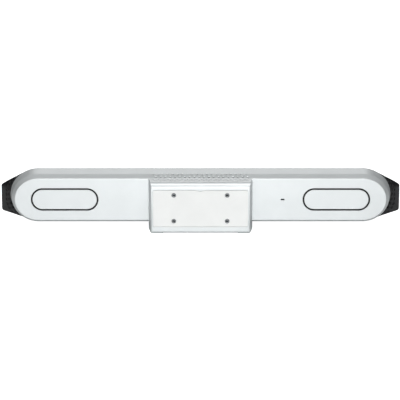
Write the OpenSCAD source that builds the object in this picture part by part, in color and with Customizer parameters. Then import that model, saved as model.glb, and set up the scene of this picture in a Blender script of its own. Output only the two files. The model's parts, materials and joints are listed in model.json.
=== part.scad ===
// Wide conference camera bar: a stadium-shaped housing with a dark honeycomb front,
// a camera behind a sliding privacy shutter, two speakers, and a connector block that
// the bar stands on. Each piece is drawn in the bar's own frame: x to the side, y up from
// the housing's axis and z forward from the rear plate. stand() sets that frame upright.
// Left and right are as seen by somebody who faces the lens.

/* [Housing] */
// Centre of each round end, from the middle of the bar
end_x = 306.4; // [300:0.5:330]
// How much longer than half its height a round end is
end_stretch = 1.1; // [1:0.01:1.2]
// Half height of the rear plate
plate_r = 40.5; // [40:0.1:42]
// Half height at the soft crease of the side wall
crease_r = 46.2; // [45.5:0.1:47]
// Half height at the front rim
rim_r = 50.8; // [50:0.1:52]
// Depth of the soft crease in front of the rear plate
crease_z = 14; // [12:0.5:18]
// Depth of the housing from its rear plate to its front rim
housing_d = 44; // [43:0.5:50]
// Wall thickness of the housing
wall = 2.6; // [2.2:0.1:3]

/* [Front] */
// Depth from the housing's rim to the widest outline of the grille
lip_d = 22; // [20:0.5:26]
// Depth from the housing's rim to the grille's face
face_d = 28; // [27:0.5:34]
// Half width of the grille at its tips
tip_x = 381.5; // [375:0.5:386]
// Height of the tip's upper corner above the housing's axis
tip_top = 14.3; // [8:0.1:18]
// Height of the tip's lower corner below the housing's axis
tip_drop = 37; // [32:0.5:40]
// Height of the grille's straight upper edge
front_top = 44; // [42:0.5:46]
// Wall thickness of the grille and of the camera bezel
front_wall = 2.2; // [1.8:0.1:2.4]
// Half width of the camera bezel
bezel_x = 60; // [58:0.5:64]

/* [Connector block] */
// How far the block stands out behind the rear plate
block_d = 33; // [32:0.5:38]
// Width of the block at the rear plate
block_w = 196; // [194:1:204]
// Width of the block at its rear face
block_rear_w = 186; // [184:1:192]
// How far the block reaches below the housing's axis
block_drop = 57; // [55:0.1:60]
// How far the base under the housing stays behind the front rim
base_step = 2; // [1:0.5:8]
// Width of the cable cover
cover_w = 178; // [174:1:180]
// Height of the cable cover
cover_h = 70; // [68:0.5:71]
// Height of the cable cover's lower edge below the housing's axis
cover_drop = 44.3; // [43.5:0.1:45]
// Height of a rubber foot
foot_h = 1.5; // [1:0.1:3]

/* [Mount] */
// Distance between the mounting inserts across the bar
mount_x = 100; // [90:1:102]
// Distance between the mounting inserts up and down
mount_h = 50; // [48:0.5:51]
// Bore of a mounting insert
mount_bore = 4; // [3:0.5:5]

/* [Ports] */
// Centre of each oval port, from the middle of the bar
port_x = 256.5; // [255:0.5:258]
// Length of the port's opening
port_l = 127; // [124:1:130]
// Height of the port's opening
port_h = 43.2; // [41:0.1:45]
// Width of the open ring around the port cover
port_gap = 2.9; // [1.5:0.1:4]

/* [Lock slot] */
// Distance of the lock slot from the middle of the bar
lock_x = 155; // [140:1:165]
// Length of the lock slot
lock_l = 7; // [6:0.1:8]
// Height of the lock slot
lock_h = 3; // [2.5:0.1:4]

/* [Camera] */
// Radius of the clear window in the bezel
window_r = 13; // [12:0.1:14]
// Travel of the privacy shutter
shutter_travel = 28; // [27:0.5:29]
// Length of the lens barrel
barrel_l = 12.8; // [12:0.1:13]

/* [Speakers] */
// Distance of each woofer from the middle of the bar
woofer_x = 235; // [234:0.5:238]
// Radius of the woofer's cone
cone_r = 24.5; // [23:0.1:24.8]
// Distance from each woofer to its tweeter
tweeter_run = 61; // [60:0.5:65]

/* [Hidden] */
$fn = 64;

// Clearances and small values that many pieces share
cut = 1; // overrun of a cut past the face that it opens
fit = 0.3; // gap between pieces that are set loosely together
screw_fit = 0.05; // gap round a screw's shank and round a pressed pin
arc_steps = 8; // straight steps in a rounded corner
hull_fn = 32; // sides of a round end inside a hull
edge_r = 1.8; // rounding of the rear plate's edge
crease_round = 40; // rounding radius of the soft crease
rim_step = 1; // how far the baffle lies behind the rim
baffle_t = 3; // thickness of the baffle
pcb_t = 1.6; // thickness of a circuit board

// Screw with a pan head and a six-sided socket
screw_d = 2.8;
head_d = 5.4;
head_h = 1.8;
socket_d = 2.4;
socket_h = 1.1;
screw_l = 10;
short_screw_l = 5;
boss_d = 8;

// Levels in front of the rear plate, and the height of the axis above the floor
baffle_front = housing_d - rim_step;
baffle_back = baffle_front - baffle_t;
lip_z = housing_d + lip_d;
face_z = housing_d + face_d;
base_d = housing_d - base_step;
axis_z = block_drop + foot_h;
plate_y = (face_z - block_d) / 2;

// Slope of the housing's side, before and after its crease
rear_slope = (crease_r - plate_r) / crease_z;
front_slope = (rim_r - crease_r) / (housing_d - crease_z);

// Front form
front_drop = rim_r;
top_run = 5; // how far the straight upper edge runs past a round end's centre
bottom_run = 34.5; // how far the lower edge does
slant_top_x = end_x + top_run;
slant_bottom_x = end_x + bottom_run;
lip_round = 6; // rounding of the outline's corners
face_inset = 8; // how far the face is drawn in from the lip
slice_t = 0.05; // thickness of each slice that the front form spans
bezel_step = 1; // how far the bezel's face lies behind the grille's
bezel_z = face_z - bezel_step;
bezel_wall = 2.5;
bezel_back = bezel_z - bezel_wall;
cloth_t = 0.8;
grille_post_d = 7;
post_run = 30; // from the bezel to the first posts of the grille
inner_post = [bezel_x + post_run, 22];
middle_post = [185, 0];
end_post = [330, 20];
grille_posts = concat(above_and_below(inner_post), [middle_post], above_and_below(end_post));
bezel_post = [52, 36];
bezel_posts = above_and_below(bezel_post);

// Places of the speaker along the bar
box_inner_run = 45; // from the woofer to the box's inner end
box_outer_run = 30; // from the tweeter to its outer end
tweeter_x = woofer_x + tweeter_run;
box_from = woofer_x - box_inner_run;
box_to = tweeter_x + box_outer_run;

// Baffle
baffle_r = rim_r - wall - front_slope * (rim_step + baffle_t) - fit;
camera_hole = [72, 60];
boss_gap = 3; // from a speaker box to the boss at its inner end
end_boss_gap = 10; // and to the one at its outer end
end_boss = [box_to + boss_d / 2 + end_boss_gap, 0];
middle_boss = [box_from - boss_d / 2 - boss_gap, 33];
inner_boss = [100, 33];
baffle_bosses = concat([end_boss], above_and_below(middle_boss), above_and_below(inner_boss));

// Connector block
block_top = plate_r;
block_top_round = 10;
block_bottom_round = 5;
block_side_round = 4;
block_wall = 3; // wall against the rear plate
block_skin = 4.5; // wall at the top of the bay
bay_half_w = 88;
bay_floor_t = 3.5; // wall under the bay
bay_drop = block_drop - bay_floor_t;
ledge_t = 2.6; // thickness of the ledge behind the cover
ledge_w = 2.2; // width of the ledge that the cover rests on
cover_t = 2.4;
cover_round = 3.5;
notch_d = 8; // finger notch in the cover's upper edge
exit_half_w = 58;
exit_l = 18;
exit_z = 17; // middle of the cable exit behind the rear plate
passage = [24, 5];
passage_y = 29.5;
pad_h = 1; // pads under the connector board
foot_w = 23;
foot_x = 81.5;
foot_back = 28;
foot_inset = 4; // from the base's front edge to the feet
foot_front = base_d - foot_inset;

// Mounting inserts
mount_y = -8.6;
insert_d = 8.4;
insert_l = 13;
post_d = 12;

// Vents in the top of the housing and of the block
vent_d = 5.4;
vent_pitch = 9.1;
vent_columns = floor(min(block_w, block_rear_w) / vent_pitch);
housing_vent_rows = [5, 13];
block_vent_rows = [-16, -8];

// Oval ports
liner_wall = 2;
liner_floor = 12; // depth of the liner's floor in front of the rear plate
cover_post_d = 7;
cover_pin_d = 3;
cover_pin_l = 6;
cover_post_x = 42;
cover_post_y = 9;
duct_l = 60;
duct_h = 14;

// Lock plate
lock_plate_size = [26, 14, 1.5];
lock_pin_x = 9.5;
lock_pin_d = 3;
lock_pin_h = 2.1;

// Camera module
bracket_size = [92, 68];
bracket_t = 1.6;
bracket_screw = [41, 28];
standoff_h = 3;
standoff_d = 5;
camera_pcb = [44, 36];
camera_pcb_y = -2;
camera_pcb_screw = [18, 13];
sensor_size = [11, 8, 1.4];
barrel_r = 11;
barrel_bore = 9;
barrel_flange_r = 13;
barrel_flange_t = 2;
lens_seat_r = 7.6;
lens_seat_z = 3;
lens_seat_t = 1.4;
lens_t = 3;
lens_curve = 22;
flex_t = 0.3;
flex_w = 12;
bracket_z = baffle_front + bracket_t;
camera_pcb_z = bracket_z + standoff_h;
barrel_z = camera_pcb_z + pcb_t;
flex_slot = [14, 4]; // cut in the bracket for the flat cable
baffle_holes = concat(baffle_bosses, grille_posts, bezel_posts, above_and_below(bracket_screw));

// Privacy shutter
carrier_z = barrel_z + barrel_l + fit;
carrier_t = 2;
carrier_size = [72, 48];
carrier_x = shutter_travel / 2;
shutter_gap = 0.7; // in front of the carrier
shutter_z = carrier_z + carrier_t + shutter_gap;
shutter_t = 1.2;
shutter_w = 30;
shutter_h = 34.2;
rail_w = 2.6;
rail_x = 34; // half length of a rail
arm_w = 6;
knob_y = 26;
knob_h = 3.2;
knob_slot_h = 4;
window_step = 2; // radius of the glass beyond the clear window
glass_t = 1.5;

// Status light
light_w = 30;
light_h = 2.6;
light_y = -29.7;
led_board = [50, 8];
led_post_x = 21.5;
led_post_d = 4.4;
light_l = 9;

// Microphones
mic_board = [118, 8, 1.2];
mic_x = 130;
mic_y = -40.2;
mic_pitch = 30;
mic_d = 4.7;
mic_h = 2;

// Speaker box
box_half_h = 35.5;
box_wall = 2;
box_round = 6;
box_z = liner_floor + liner_wall;

// Woofer, drawn from the baffle's front
woofer_flange_r = 37;
woofer_flange_t = 1.5;
woofer_hole_r = 30.5;
basket_t = 1;
basket_r = 20;
basket_d = 13.3;
basket_hole_r = 10.5;
basket_window = [14, 8];
magnet_gap = 1.7; // between the magnet and the floor of the speaker box
magnet_top = woofer_flange_t - basket_d - basket_t;
magnet_l = baffle_front + magnet_top - box_z - box_wall - magnet_gap;
magnet_floor = 2.5;
pole_r = 8;
pole_rise = 0.8;
cone_d = 9.9; // depth of the cone
cone_t = 1;
cone_travel = 2.5;
cone_top = woofer_flange_t - fit;
cone_foot = cone_top - cone_t - cone_d;
former_r = 9.5;
former_t = 0.8;
former_gap = 1.3; // below the coil former where the cone is furthest back
former_l = cone_foot - magnet_top + magnet_l - magnet_floor - cone_travel - former_gap;
cap_rise = 2.2;
surround_t = 0.6;
surround_foot = 2.6;
woofer_screw_r = 34;

// Tweeter
tweeter_flange_r = 15;
tweeter_can_r = 11;
tweeter_can_l = 13;
tweeter_mouth_r = 9.6;
tweeter_mouth_d = 3.5;
dome_r = 10;
dome_t = 0.6;
dome_rise = 5.4;

// Main board and its cooling
board_size = [170, 64];
board_post = [80, 27];
board_z = 24;
processor_size = [30, 30, 1.5];
pad_t = 0.5;
sink_size = [120, 52];
sink_base_t = 3;
sink_fin_l = 13;
sink_fin_t = 1.6;
sink_fins = 15;
sink_post = [52, 20];
chip_size = [12, 9, 1.2];
can_size = [24, 30, 3];
can_place = [70, -5];
can_wall = 0.5;

// Connector board and its sockets, along the board's lower edge
jack_pcb = [87, 32];
jack_drop = 8;
jack_screw = [38, 19];
jack_pad_y = -3;
jack_z = -block_wall - pad_h - pcb_t;
hdmi = [15, 11.5, 6];
hdmi_mouth = [14, 8, 4.6];
hdmi_tongue = [11.4, 7, 1];
hdmi_places = [-14, 2.5];
usb_a = [13.2, 14, 6.6];
usb_a_mouth = [12.2, 9, 5.2];
usb_a_tongue = [11, 8, 1.8];
usb_a_x = 18.5;
usb_c = [9, 7.5, 3.4];
usb_c_mouth = [8.3, 6, 2.6];
usb_c_tongue = [6.7, 5, 0.7];
usb_c_x = -27;
ethernet = [16, 16, 13.4];
ethernet_mouth = [11.8, 11, 8.4];
ethernet_latch = [6, 11, 2];
ethernet_x = 35;
power = [9, 14, 11];
power_x = -37.5;
power_bore_d = 6.4;
power_bore_l = 10;
power_pin_d = 2.1;
power_pin_l = 8;
reset_y = 14;
reset_body = [6, 6, 3.4];
reset_d = 3.4;
reset_fit = 0.1;
reset_rise = 2.5;
reset_depth = 2;
reset_travel = 0.8;

// Antennas behind the baffle
antenna_size = [40, 8, 1];
antenna_place = [140, 34];

function above_and_below(p) = [p, [p.x, -p.y]];
function unit(v) = v / norm(v);
function turn(a, b) = a.x * b.y - a.y * b.x > 0 ? 1 : -1;

// Points of an arc of radius r that rounds corner b between a and c
function corner_arc(a, b, c, r) =
    let (u = unit(a - b), v = unit(c - b))
    let (half = acos(u * v) / 2)
    let (centre = b + unit(u + v) * r / sin(half))
    let (first = b + u * r / tan(half) - centre, last = b + v * r / tan(half) - centre)
    let (start = atan2(first.y, first.x), sweep = turn(first, last) * (180 - 2 * half))
    [for (i = [0:arc_steps])
        centre + r * [cos(start + sweep * i / arc_steps), sin(start + sweep * i / arc_steps)]];

// Outline through corners [x, y, r], each rounded by its own r
function rounded(p) =
    let (n = len(p))
    [for (i = [0:n - 1])
        let (a = p[(i + n - 1) % n], b = p[i], c = p[(i + 1) % n])
        each (b.z > 0 ? corner_arc([a.x, a.y], [b.x, b.y], [c.x, c.y], b.z) : [[b.x, b.y]])];

// Four corners of a rounded rectangle round the origin
function box_corners(w, h, r) =
    rounded([[w / 2, h / 2, r], [-w / 2, h / 2, r], [-w / 2, -h / 2, r], [w / 2, -h / 2, r]]);

// Half height of the housing's outside at depth z
function side_r(z) =
    z < crease_z ? plate_r + rear_slope * z : crease_r + front_slope * (z - crease_z);

// Sets the bar's frame upright, feet on the floor
module stand() {
    translate([0, plate_y, axis_z])
        rotate([90, 0, 0])
            children();
}

// Draws its children on both sides of the middle
module both_sides() {
    children();
    mirror([1, 0, 0])
        children();
}

// Upright prism in x and y, from depth z over h
module prism(z, h) {
    translate([0, 0, z])
        linear_extrude(h)
            children();
}

// Prism across the bar whose outline is given as height and depth
module across(half_w) {
    rotate([90, 0, 90])
        translate([0, 0, -half_w])
            linear_extrude(2 * half_w)
                children();
}

// Flat oval with straight long sides
module oval(length, height) {
    for (side = [-1, 1])
        translate([side * (length - height) / 2, 0])
            circle(d = height);
    square([length - height, height], center = true);
}

// Box from corner a to corner b
module span(a, b) {
    translate(a)
        cube(b - a);
}

// Long body with round ends, from half a section [height, depth] that starts and ends on the axis
module long_body(section) {
    n = len(section);
    for (side = [-1, 1])
        translate([side * end_x, 0, 0])
            scale([end_stretch, 1, 1])
                rotate([0, 0, -side * 90])
                    rotate_extrude(angle = 180)
                        polygon(section);
    across(end_x)
        polygon(concat(section, [for (i = [n - 2:-1:1]) [-section[i].x, section[i].y]]));
}

// Screw whose head rests on z = 0 and whose shank runs backwards
module screw(length) {
    difference() {
        union() {
            translate([0, 0, -length])
                cylinder(d = screw_d, h = length);
            cylinder(d = head_d, h = head_h);
        }
        translate([0, 0, head_h - socket_h])
            cylinder(d = socket_d, h = socket_h + cut, $fn = 6);
    }
}

// Hole for a screw's shank, from z = 0 backwards
module screw_hole(length) {
    translate([0, 0, -length])
        cylinder(d = screw_d + 2 * screw_fit, h = length + cut);
}

// Puts its children at each place in a list, on both sides of the bar
module at_places(places, z) {
    both_sides()
        for (p = places)
            translate([p.x, p.y, z])
                children();
}

// Puts its children at the four corners of a rectangle with half sizes p, round height y
module at_corners(p, y, z) {
    for (i = [-1, 1], j = [-1, 1])
        translate([i * p.x, y + j * p.y, z])
            children();
}

// Upright six-sided holes in rows along the bar
module vents(rows, from_y, to_y) {
    for (k = [0:len(rows) - 1], i = [0:vent_columns - 1])
        translate([(i - (vent_columns - 1) / 2 + (k % 2 - 0.5) / 2) * vent_pitch, from_y, rows[k]])
            rotate([-90, 0, 0])
                cylinder(d = vent_d, h = to_y - from_y, $fn = 6);
}

housing_outside = rounded([[0, 0, 0], [plate_r, 0, edge_r], [crease_r, crease_z, crease_round],
    [rim_r, housing_d, 0], [0, housing_d, 0]]);
inner_plate_r = plate_r - wall + rear_slope * wall;
housing_inside = rounded([[0, wall, 0], [inner_plate_r, wall, edge_r],
    [crease_r - wall, crease_z, crease_round], [rim_r - wall, housing_d, 0],
    [rim_r - wall, housing_d + cut, 0], [0, housing_d + cut, 0]]);

module rear_housing() {
    color("#e4e7e8")
        difference() {
            union() {
                difference() {
                    long_body(housing_outside);
                    long_body(housing_inside);
                    both_sides()
                        translate([port_x, 0, 0])
                            prism(-cut, wall + 2 * cut)
                                oval(port_l, port_h);
                    vents(housing_vent_rows, plate_r - 3 * wall, rim_r);
                    translate([0, passage_y, 0])
                        prism(-cut, wall + 2 * cut)
                            square(passage, center = true);
                    translate([-lock_x, 0, 0])
                        prism(-cut, wall + 2 * cut)
                            square([lock_l, lock_h], center = true);
                }
                at_places(baffle_bosses, wall)
                    cylinder(d = boss_d, h = baffle_back - wall);
                at_corners(board_post, 0, wall)
                    cylinder(d = boss_d, h = board_z - wall);
                for (side = [-1, 1])
                    translate([-lock_x + side * lock_pin_x, 0, wall])
                        cylinder(d = lock_pin_d, h = lock_pin_h);
            }
            at_places(baffle_bosses, baffle_back)
                screw_hole(screw_l);
            at_corners(board_post, 0, board_z)
                screw_hole(screw_l);
            at_corners([mount_x / 2, mount_h / 2], mount_y, wall)
                screw_hole(wall + cut);
        }
}

block_side = rounded([
    [block_top, 0, 0], [block_top, -block_d, block_top_round],
    [-block_drop, -block_d, block_bottom_round], [-block_drop, base_d, 0],
    [-side_r(base_d) - fit, base_d, 0], [-side_r(crease_z) - fit, crease_z, 0],
    [-plate_r - fit, 0, 0]
]);
block_plan = rounded([
    [block_w / 2, -base_d, 0], [block_w / 2, 0, 0],
    [block_rear_w / 2, block_d, block_side_round], [-block_rear_w / 2, block_d, block_side_round],
    [-block_w / 2, 0, 0], [-block_w / 2, -base_d, 0]
]);
cover_y = cover_h / 2 - cover_drop;
bay_back = -block_d + cover_t + ledge_t;

module connector_housing() {
    color("#e4e7e8")
        difference() {
            union() {
                difference() {
                    intersection() {
                        across(block_w / 2)
                            polygon(block_side);
                        translate([0, -block_drop - cut, 0])
                            rotate([-90, 0, 0])
                                linear_extrude(block_drop + block_top + 2 * cut)
                                    polygon(block_plan);
                    }
                    span([-bay_half_w, -bay_drop, bay_back],
                        [bay_half_w, block_top - block_skin, -block_wall]);
                    translate([0, cover_y, 0]) {
                        prism(-block_d - cut, cover_t + cut)
                            polygon(box_corners(cover_w + 2 * fit, cover_h + 2 * fit, cover_round));
                        prism(-block_d, cover_t + ledge_t + cut)
                            polygon(box_corners(cover_w - 2 * ledge_w, cover_h - 2 * ledge_w, cover_round));
                    }
                    span([-exit_half_w, -block_drop - cut, -exit_z - exit_l / 2],
                        [exit_half_w, -bay_drop + cut, -exit_z + exit_l / 2]);
                    vents(block_vent_rows, block_top - block_skin - cut, block_top + cut);
                    translate([0, passage_y, 0])
                        prism(-block_wall - cut, block_wall + 2 * cut)
                            square(passage, center = true);
                }
                at_corners([mount_x / 2, mount_h / 2], mount_y, -block_d + cover_t)
                    cylinder(d = post_d, h = block_d - cover_t - block_wall + cut);
                for (y = [jack_screw.y, jack_pad_y], side = [-1, 1])
                    translate([side * jack_screw.x, y, -block_wall - pad_h])
                        cylinder(d = boss_d, h = pad_h + cut);
            }
            at_corners([mount_x / 2, mount_h / 2], mount_y, -block_d - cut)
                cylinder(d = insert_d + 2 * screw_fit, h = insert_l + cut);
            at_corners([mount_x / 2, mount_h / 2], mount_y, 0)
                screw_hole(screw_l);
            for (side = [-1, 1])
                translate([side * jack_screw.x, jack_screw.y, -block_wall - pad_h - cut])
                    cylinder(d = screw_d + 2 * screw_fit, h = pad_h + block_wall + 2 * cut);
        }
}

module cable_cover() {
    color("#f3f3f1")
        difference() {
            prism(-block_d, cover_t)
                translate([0, cover_y])
                    polygon(box_corners(cover_w, cover_h, cover_round));
            at_corners([mount_x / 2, mount_h / 2], mount_y, -block_d - cut)
                cylinder(d = insert_d + 2 * fit, h = cover_t + 2 * cut);
            translate([0, cover_y + cover_h / 2, -block_d - cut])
                cylinder(d = notch_d, h = cover_t + 2 * cut);
        }
}

module mount_inserts() {
    color("#8d8f90")
        at_corners([mount_x / 2, mount_h / 2], mount_y, -block_d)
            difference() {
                cylinder(d = insert_d, h = insert_l);
                translate([0, 0, -cut])
                    cylinder(d = mount_bore, h = insert_l + 2 * cut);
            }
}

module rubber_feet() {
    color("#c9cccd")
        both_sides()
            translate([foot_x, -block_drop - foot_h, (foot_front - foot_back) / 2])
                rotate([-90, 0, 0])
                    linear_extrude(foot_h)
                        polygon(box_corners(foot_w, foot_front + foot_back, cover_round));
}

module lock_plate() {
    color("#4a4d50")
        translate([-lock_x, 0, wall])
            difference() {
                prism(0, lock_plate_size.z)
                    square([lock_plate_size.x, lock_plate_size.y], center = true);
                prism(-cut, lock_plate_size.z + 2 * cut)
                    square([lock_l, lock_h], center = true);
                for (side = [-1, 1])
                    translate([side * lock_pin_x, 0, -cut])
                        cylinder(d = lock_pin_d + 2 * screw_fit, h = lock_plate_size.z + 2 * cut);
            }
}

module port_cover() {
    color("#e4e7e8")
        translate([port_x, 0, 0]) {
            prism(0, wall)
                oval(port_l - 2 * port_gap, port_h - 2 * port_gap);
            at_corners([cover_post_x, cover_post_y], 0, wall)
                cylinder(d = cover_pin_d, h = cover_pin_l);
        }
}

module port_liner() {
    color("#1b1c1d")
        translate([port_x, 0, 0])
            difference() {
                union() {
                    difference() {
                        prism(wall, box_z - wall)
                            oval(port_l + 2 * liner_wall, port_h + 2 * liner_wall);
                        prism(wall - cut, liner_floor - wall + cut)
                            oval(port_l, port_h);
                    }
                    at_corners([cover_post_x, cover_post_y], 0, wall)
                        cylinder(d = cover_post_d, h = box_z - wall);
                }
                prism(liner_floor - cut, liner_wall + 2 * cut)
                    square([duct_l, duct_h / 2], center = true);
                at_corners([cover_post_x, cover_post_y], 0, wall - cut)
                    cylinder(d = cover_pin_d + 2 * screw_fit, h = cover_pin_l + 2 * cut);
            }
}

module front_baffle() {
    color("#2a2c2e")
        difference() {
            long_body([[0, baffle_back], [baffle_r, baffle_back], [baffle_r, baffle_front], [0, baffle_front]]);
            prism(baffle_back - cut, baffle_t + 2 * cut)
                square(camera_hole, center = true);
            both_sides() {
                translate([woofer_x, 0, baffle_back - cut])
                    cylinder(r = woofer_hole_r, h = baffle_t + 2 * cut);
                translate([tweeter_x, 0, baffle_back - cut])
                    cylinder(r = tweeter_can_r + fit, h = baffle_t + 2 * cut);
                translate([woofer_x, 0, baffle_front])
                    for (turn_by = [45:90:315])
                        rotate(turn_by)
                            translate([woofer_screw_r, 0, 0])
                                screw_hole(baffle_t + cut);
            }
            at_places(baffle_holes, baffle_front)
                screw_hole(baffle_t + cut);
        }
}

module baffle_screws() {
    color("#b9bcbe")
        at_places(baffle_bosses, baffle_front)
            screw(screw_l);
}

lip_outline = [
    [slant_top_x, front_top], [tip_x, tip_top], [tip_x, -tip_drop], [slant_bottom_x, -front_drop],
    [-slant_bottom_x, -front_drop], [-tip_x, -tip_drop], [-tip_x, tip_top], [-slant_top_x, front_top]
];

// Lip outline drawn in by a distance, with rounded corners
module lip(inset) {
    offset(r = lip_round, $fn = hull_fn)
        offset(delta = -inset - lip_round)
            polygon(lip_outline);
}

// Swelling front form: round at the rim, widest at the lip, drawn in at the face
module front_form(inset, back) {
    hull() {
        prism(housing_d - back, back + slice_t)
            for (side = [-1, 1])
                translate([side * end_x, 0])
                    scale([end_stretch, 1])
                        circle(r = rim_r - inset, $fn = 2 * hull_fn);
        prism(lip_z - slice_t, slice_t)
            lip(inset);
        prism(face_z - inset - slice_t, slice_t)
            lip(inset + face_inset);
    }
}

module grille() {
    color("#141516")
        difference() {
            union() {
                difference() {
                    front_form(0, 0);
                    front_form(front_wall, cut);
                }
                for (p = grille_posts)
                    translate([p.x, p.y, baffle_front])
                        cylinder(d = grille_post_d, h = face_z - front_wall / 2 - baffle_front);
            }
            for (p = grille_posts)
                translate([p.x, p.y, baffle_front + screw_l])
                    screw_hole(screw_l + cut);
            span([-tip_x - cut, -rim_r - cut, housing_d - rim_step - cut],
                [bezel_x + fit, rim_r + cut, face_z + cut]);
        }
}

module acoustic_cloth() {
    color("#0c0c0d")
        difference() {
            prism(face_z - front_wall - cloth_t, cloth_t)
                intersection() {
                    offset(delta = -face_inset - 2 * front_wall)
                        polygon(lip_outline);
                    translate([bezel_x + 2 * front_wall, -rim_r])
                        square([tip_x, 2 * rim_r]);
                }
            for (p = grille_posts)
                translate([p.x, p.y, face_z - front_wall - cloth_t - cut])
                    cylinder(d = grille_post_d + 2 * fit, h = cloth_t + 2 * cut);
        }
}

module grille_screws() {
    color("#b9bcbe")
        at_places(concat(grille_posts, bezel_posts), baffle_back)
            mirror([0, 0, 1])
                screw(screw_l);
}

// Section of the bezel as height and depth, drawn in by a wall
function bezel_section(inset, back) = rounded([
    [rim_r - inset, housing_d - back, 0], [front_top - inset, lip_z, 0],
    [front_top - face_inset - inset / 2, bezel_z - inset, 0],
    [-front_drop + face_inset + inset / 2, bezel_z - inset, 0],
    [-front_drop + inset, lip_z, 0], [-rim_r + inset, housing_d - back, 0]
]);

module camera_bezel() {
    color("#08090a")
        difference() {
            union() {
                difference() {
                    across(bezel_x)
                        polygon(bezel_section(0, 0));
                    across(bezel_x - front_wall)
                        polygon(bezel_section(bezel_wall, cut));
                }
                at_corners(bezel_post, 0, baffle_front)
                    cylinder(d = grille_post_d, h = bezel_z - bezel_wall / 2 - baffle_front);
                for (x = [-led_post_x, led_post_x])
                    translate([x, light_y, bezel_z - light_l])
                        cylinder(d = led_post_d, h = light_l - bezel_wall / 2);
                shutter_rails();
            }
            at_corners(bezel_post, 0, baffle_front + screw_l)
                screw_hole(screw_l + cut);
            translate([0, 0, bezel_back - cut]) {
                cylinder(r = window_r, h = bezel_wall + 2 * cut);
                cylinder(r = window_r + window_step + fit, h = glass_t + cut);
            }
            prism(bezel_back - cut, bezel_wall + 2 * cut) {
                translate([shutter_travel / 2, knob_y])
                    square([shutter_travel + arm_w + 2 * fit, knob_slot_h], center = true);
                translate([0, light_y])
                    square([light_w + fit, light_h + fit], center = true);
            }
        }
}

// Rails that the shutter slides between; the upper one leaves a gap for the knob's arm
module shutter_rails() {
    rail_y = shutter_h / 2 + fit;
    rail_z = carrier_z + carrier_t;
    rail_h = bezel_z - bezel_wall / 2 - rail_z;
    arm_gap = arm_w / 2 + 2 * fit;
    span([carrier_x - rail_x, -rail_y - rail_w, rail_z], [carrier_x + rail_x, -rail_y, rail_z + rail_h]);
    span([carrier_x - rail_x, rail_y, rail_z], [-arm_gap, rail_y + rail_w, rail_z + rail_h]);
    span([shutter_travel + arm_gap, rail_y, rail_z], [carrier_x + rail_x, rail_y + rail_w, rail_z + rail_h]);
}

module lens_window() {
    color("#9fb4c4", 0.5)
        translate([0, 0, bezel_back])
            cylinder(r = window_r + window_step, h = glass_t);
}

module shutter_carrier() {
    color("#1b1c1d")
        difference() {
            prism(carrier_z, carrier_t)
                translate([carrier_x, 0])
                    square(carrier_size, center = true);
            translate([0, 0, carrier_z - cut])
                cylinder(r = barrel_r, h = carrier_t + 2 * cut);
        }
}

module privacy_shutter() {
    color("#2b2d2f")
        translate([shutter_travel, 0, shutter_z]) {
            prism(0, shutter_t)
                square([shutter_w, shutter_h], center = true);
            span([-arm_w / 2, 0, 0], [arm_w / 2, knob_y + knob_h / 2, shutter_t]);
            span([-arm_w / 2, knob_y - knob_h / 2, 0], [arm_w / 2, knob_y + knob_h / 2, face_z - shutter_z]);
        }
}

module camera_bracket() {
    color("#b9bcbe")
        difference() {
            union() {
                prism(baffle_front, bracket_t)
                    square(bracket_size, center = true);
                at_corners(camera_pcb_screw, camera_pcb_y, bracket_z)
                    cylinder(d = standoff_d, h = standoff_h);
            }
            at_corners(camera_pcb_screw, camera_pcb_y, camera_pcb_z)
                screw_hole(standoff_h + bracket_t + cut);
            at_corners(bracket_screw, 0, bracket_z)
                screw_hole(bracket_t + cut);
            translate([0, camera_pcb_y - camera_pcb.y / 2, 0])
                prism(baffle_front - cut, bracket_t + 2 * cut)
                    square(flex_slot, center = true);
        }
}

module camera_board() {
    color("#1f5c3a")
        difference() {
            prism(camera_pcb_z, pcb_t)
                translate([0, camera_pcb_y])
                    square(camera_pcb, center = true);
            at_corners(camera_pcb_screw, camera_pcb_y, barrel_z)
                screw_hole(pcb_t + cut);
        }
}

module camera_screws() {
    color("#b9bcbe") {
        at_corners(bracket_screw, 0, bracket_z)
            screw(short_screw_l - head_h / 2);
        at_corners(camera_pcb_screw, camera_pcb_y, barrel_z)
            screw(short_screw_l);
    }
}

module image_sensor() {
    color("#3a4a6a")
        prism(barrel_z, sensor_size.z)
            square([sensor_size.x, sensor_size.y], center = true);
}

module lens_barrel() {
    color("#161718")
        translate([0, 0, barrel_z])
            difference() {
                union() {
                    cylinder(r = barrel_r, h = barrel_l);
                    cylinder(r = barrel_flange_r, h = barrel_flange_t);
                }
                translate([0, 0, -cut])
                    cylinder(r = lens_seat_r, h = barrel_l + 2 * cut);
                translate([0, 0, -cut])
                    cylinder(r = barrel_bore, h = lens_seat_z + cut);
                translate([0, 0, lens_seat_z + lens_seat_t])
                    cylinder(r = barrel_bore, h = barrel_l);
            }
}

// Domed lens, flat behind
module lens(z) {
    translate([0, 0, z])
        intersection() {
            cylinder(r = barrel_bore - screw_fit, h = lens_t);
            translate([0, 0, lens_t - lens_curve])
                sphere(r = lens_curve);
        }
}

module lens_elements() {
    seat = barrel_z + lens_seat_z + lens_seat_t;
    color("#8fa9c0", 0.6) {
        lens(seat);
        lens(seat + lens_t);
    }
}

module status_light_pipe() {
    color("#dfe9ef", 0.7)
        prism(bezel_z - light_l, light_l)
            translate([0, light_y])
                square([light_w, light_h], center = true);
}

module status_led_board() {
    color("#1f5c3a")
        prism(bezel_z - light_l - pcb_t, pcb_t)
            translate([0, light_y])
                square(led_board, center = true);
}

module microphone_boards() {
    color("#1f5c3a")
        both_sides()
            translate([mic_x, mic_y, 0])
                prism(baffle_front, mic_board.z)
                    square([mic_board.x, mic_board.y], center = true);
}

module microphones() {
    color("#c7a24a")
        both_sides()
            for (i = [-1.5:1:1.5])
                translate([mic_x + i * mic_pitch, mic_y, baffle_front + mic_board.z])
                    cylinder(d = mic_d, h = mic_h);
}

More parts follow.
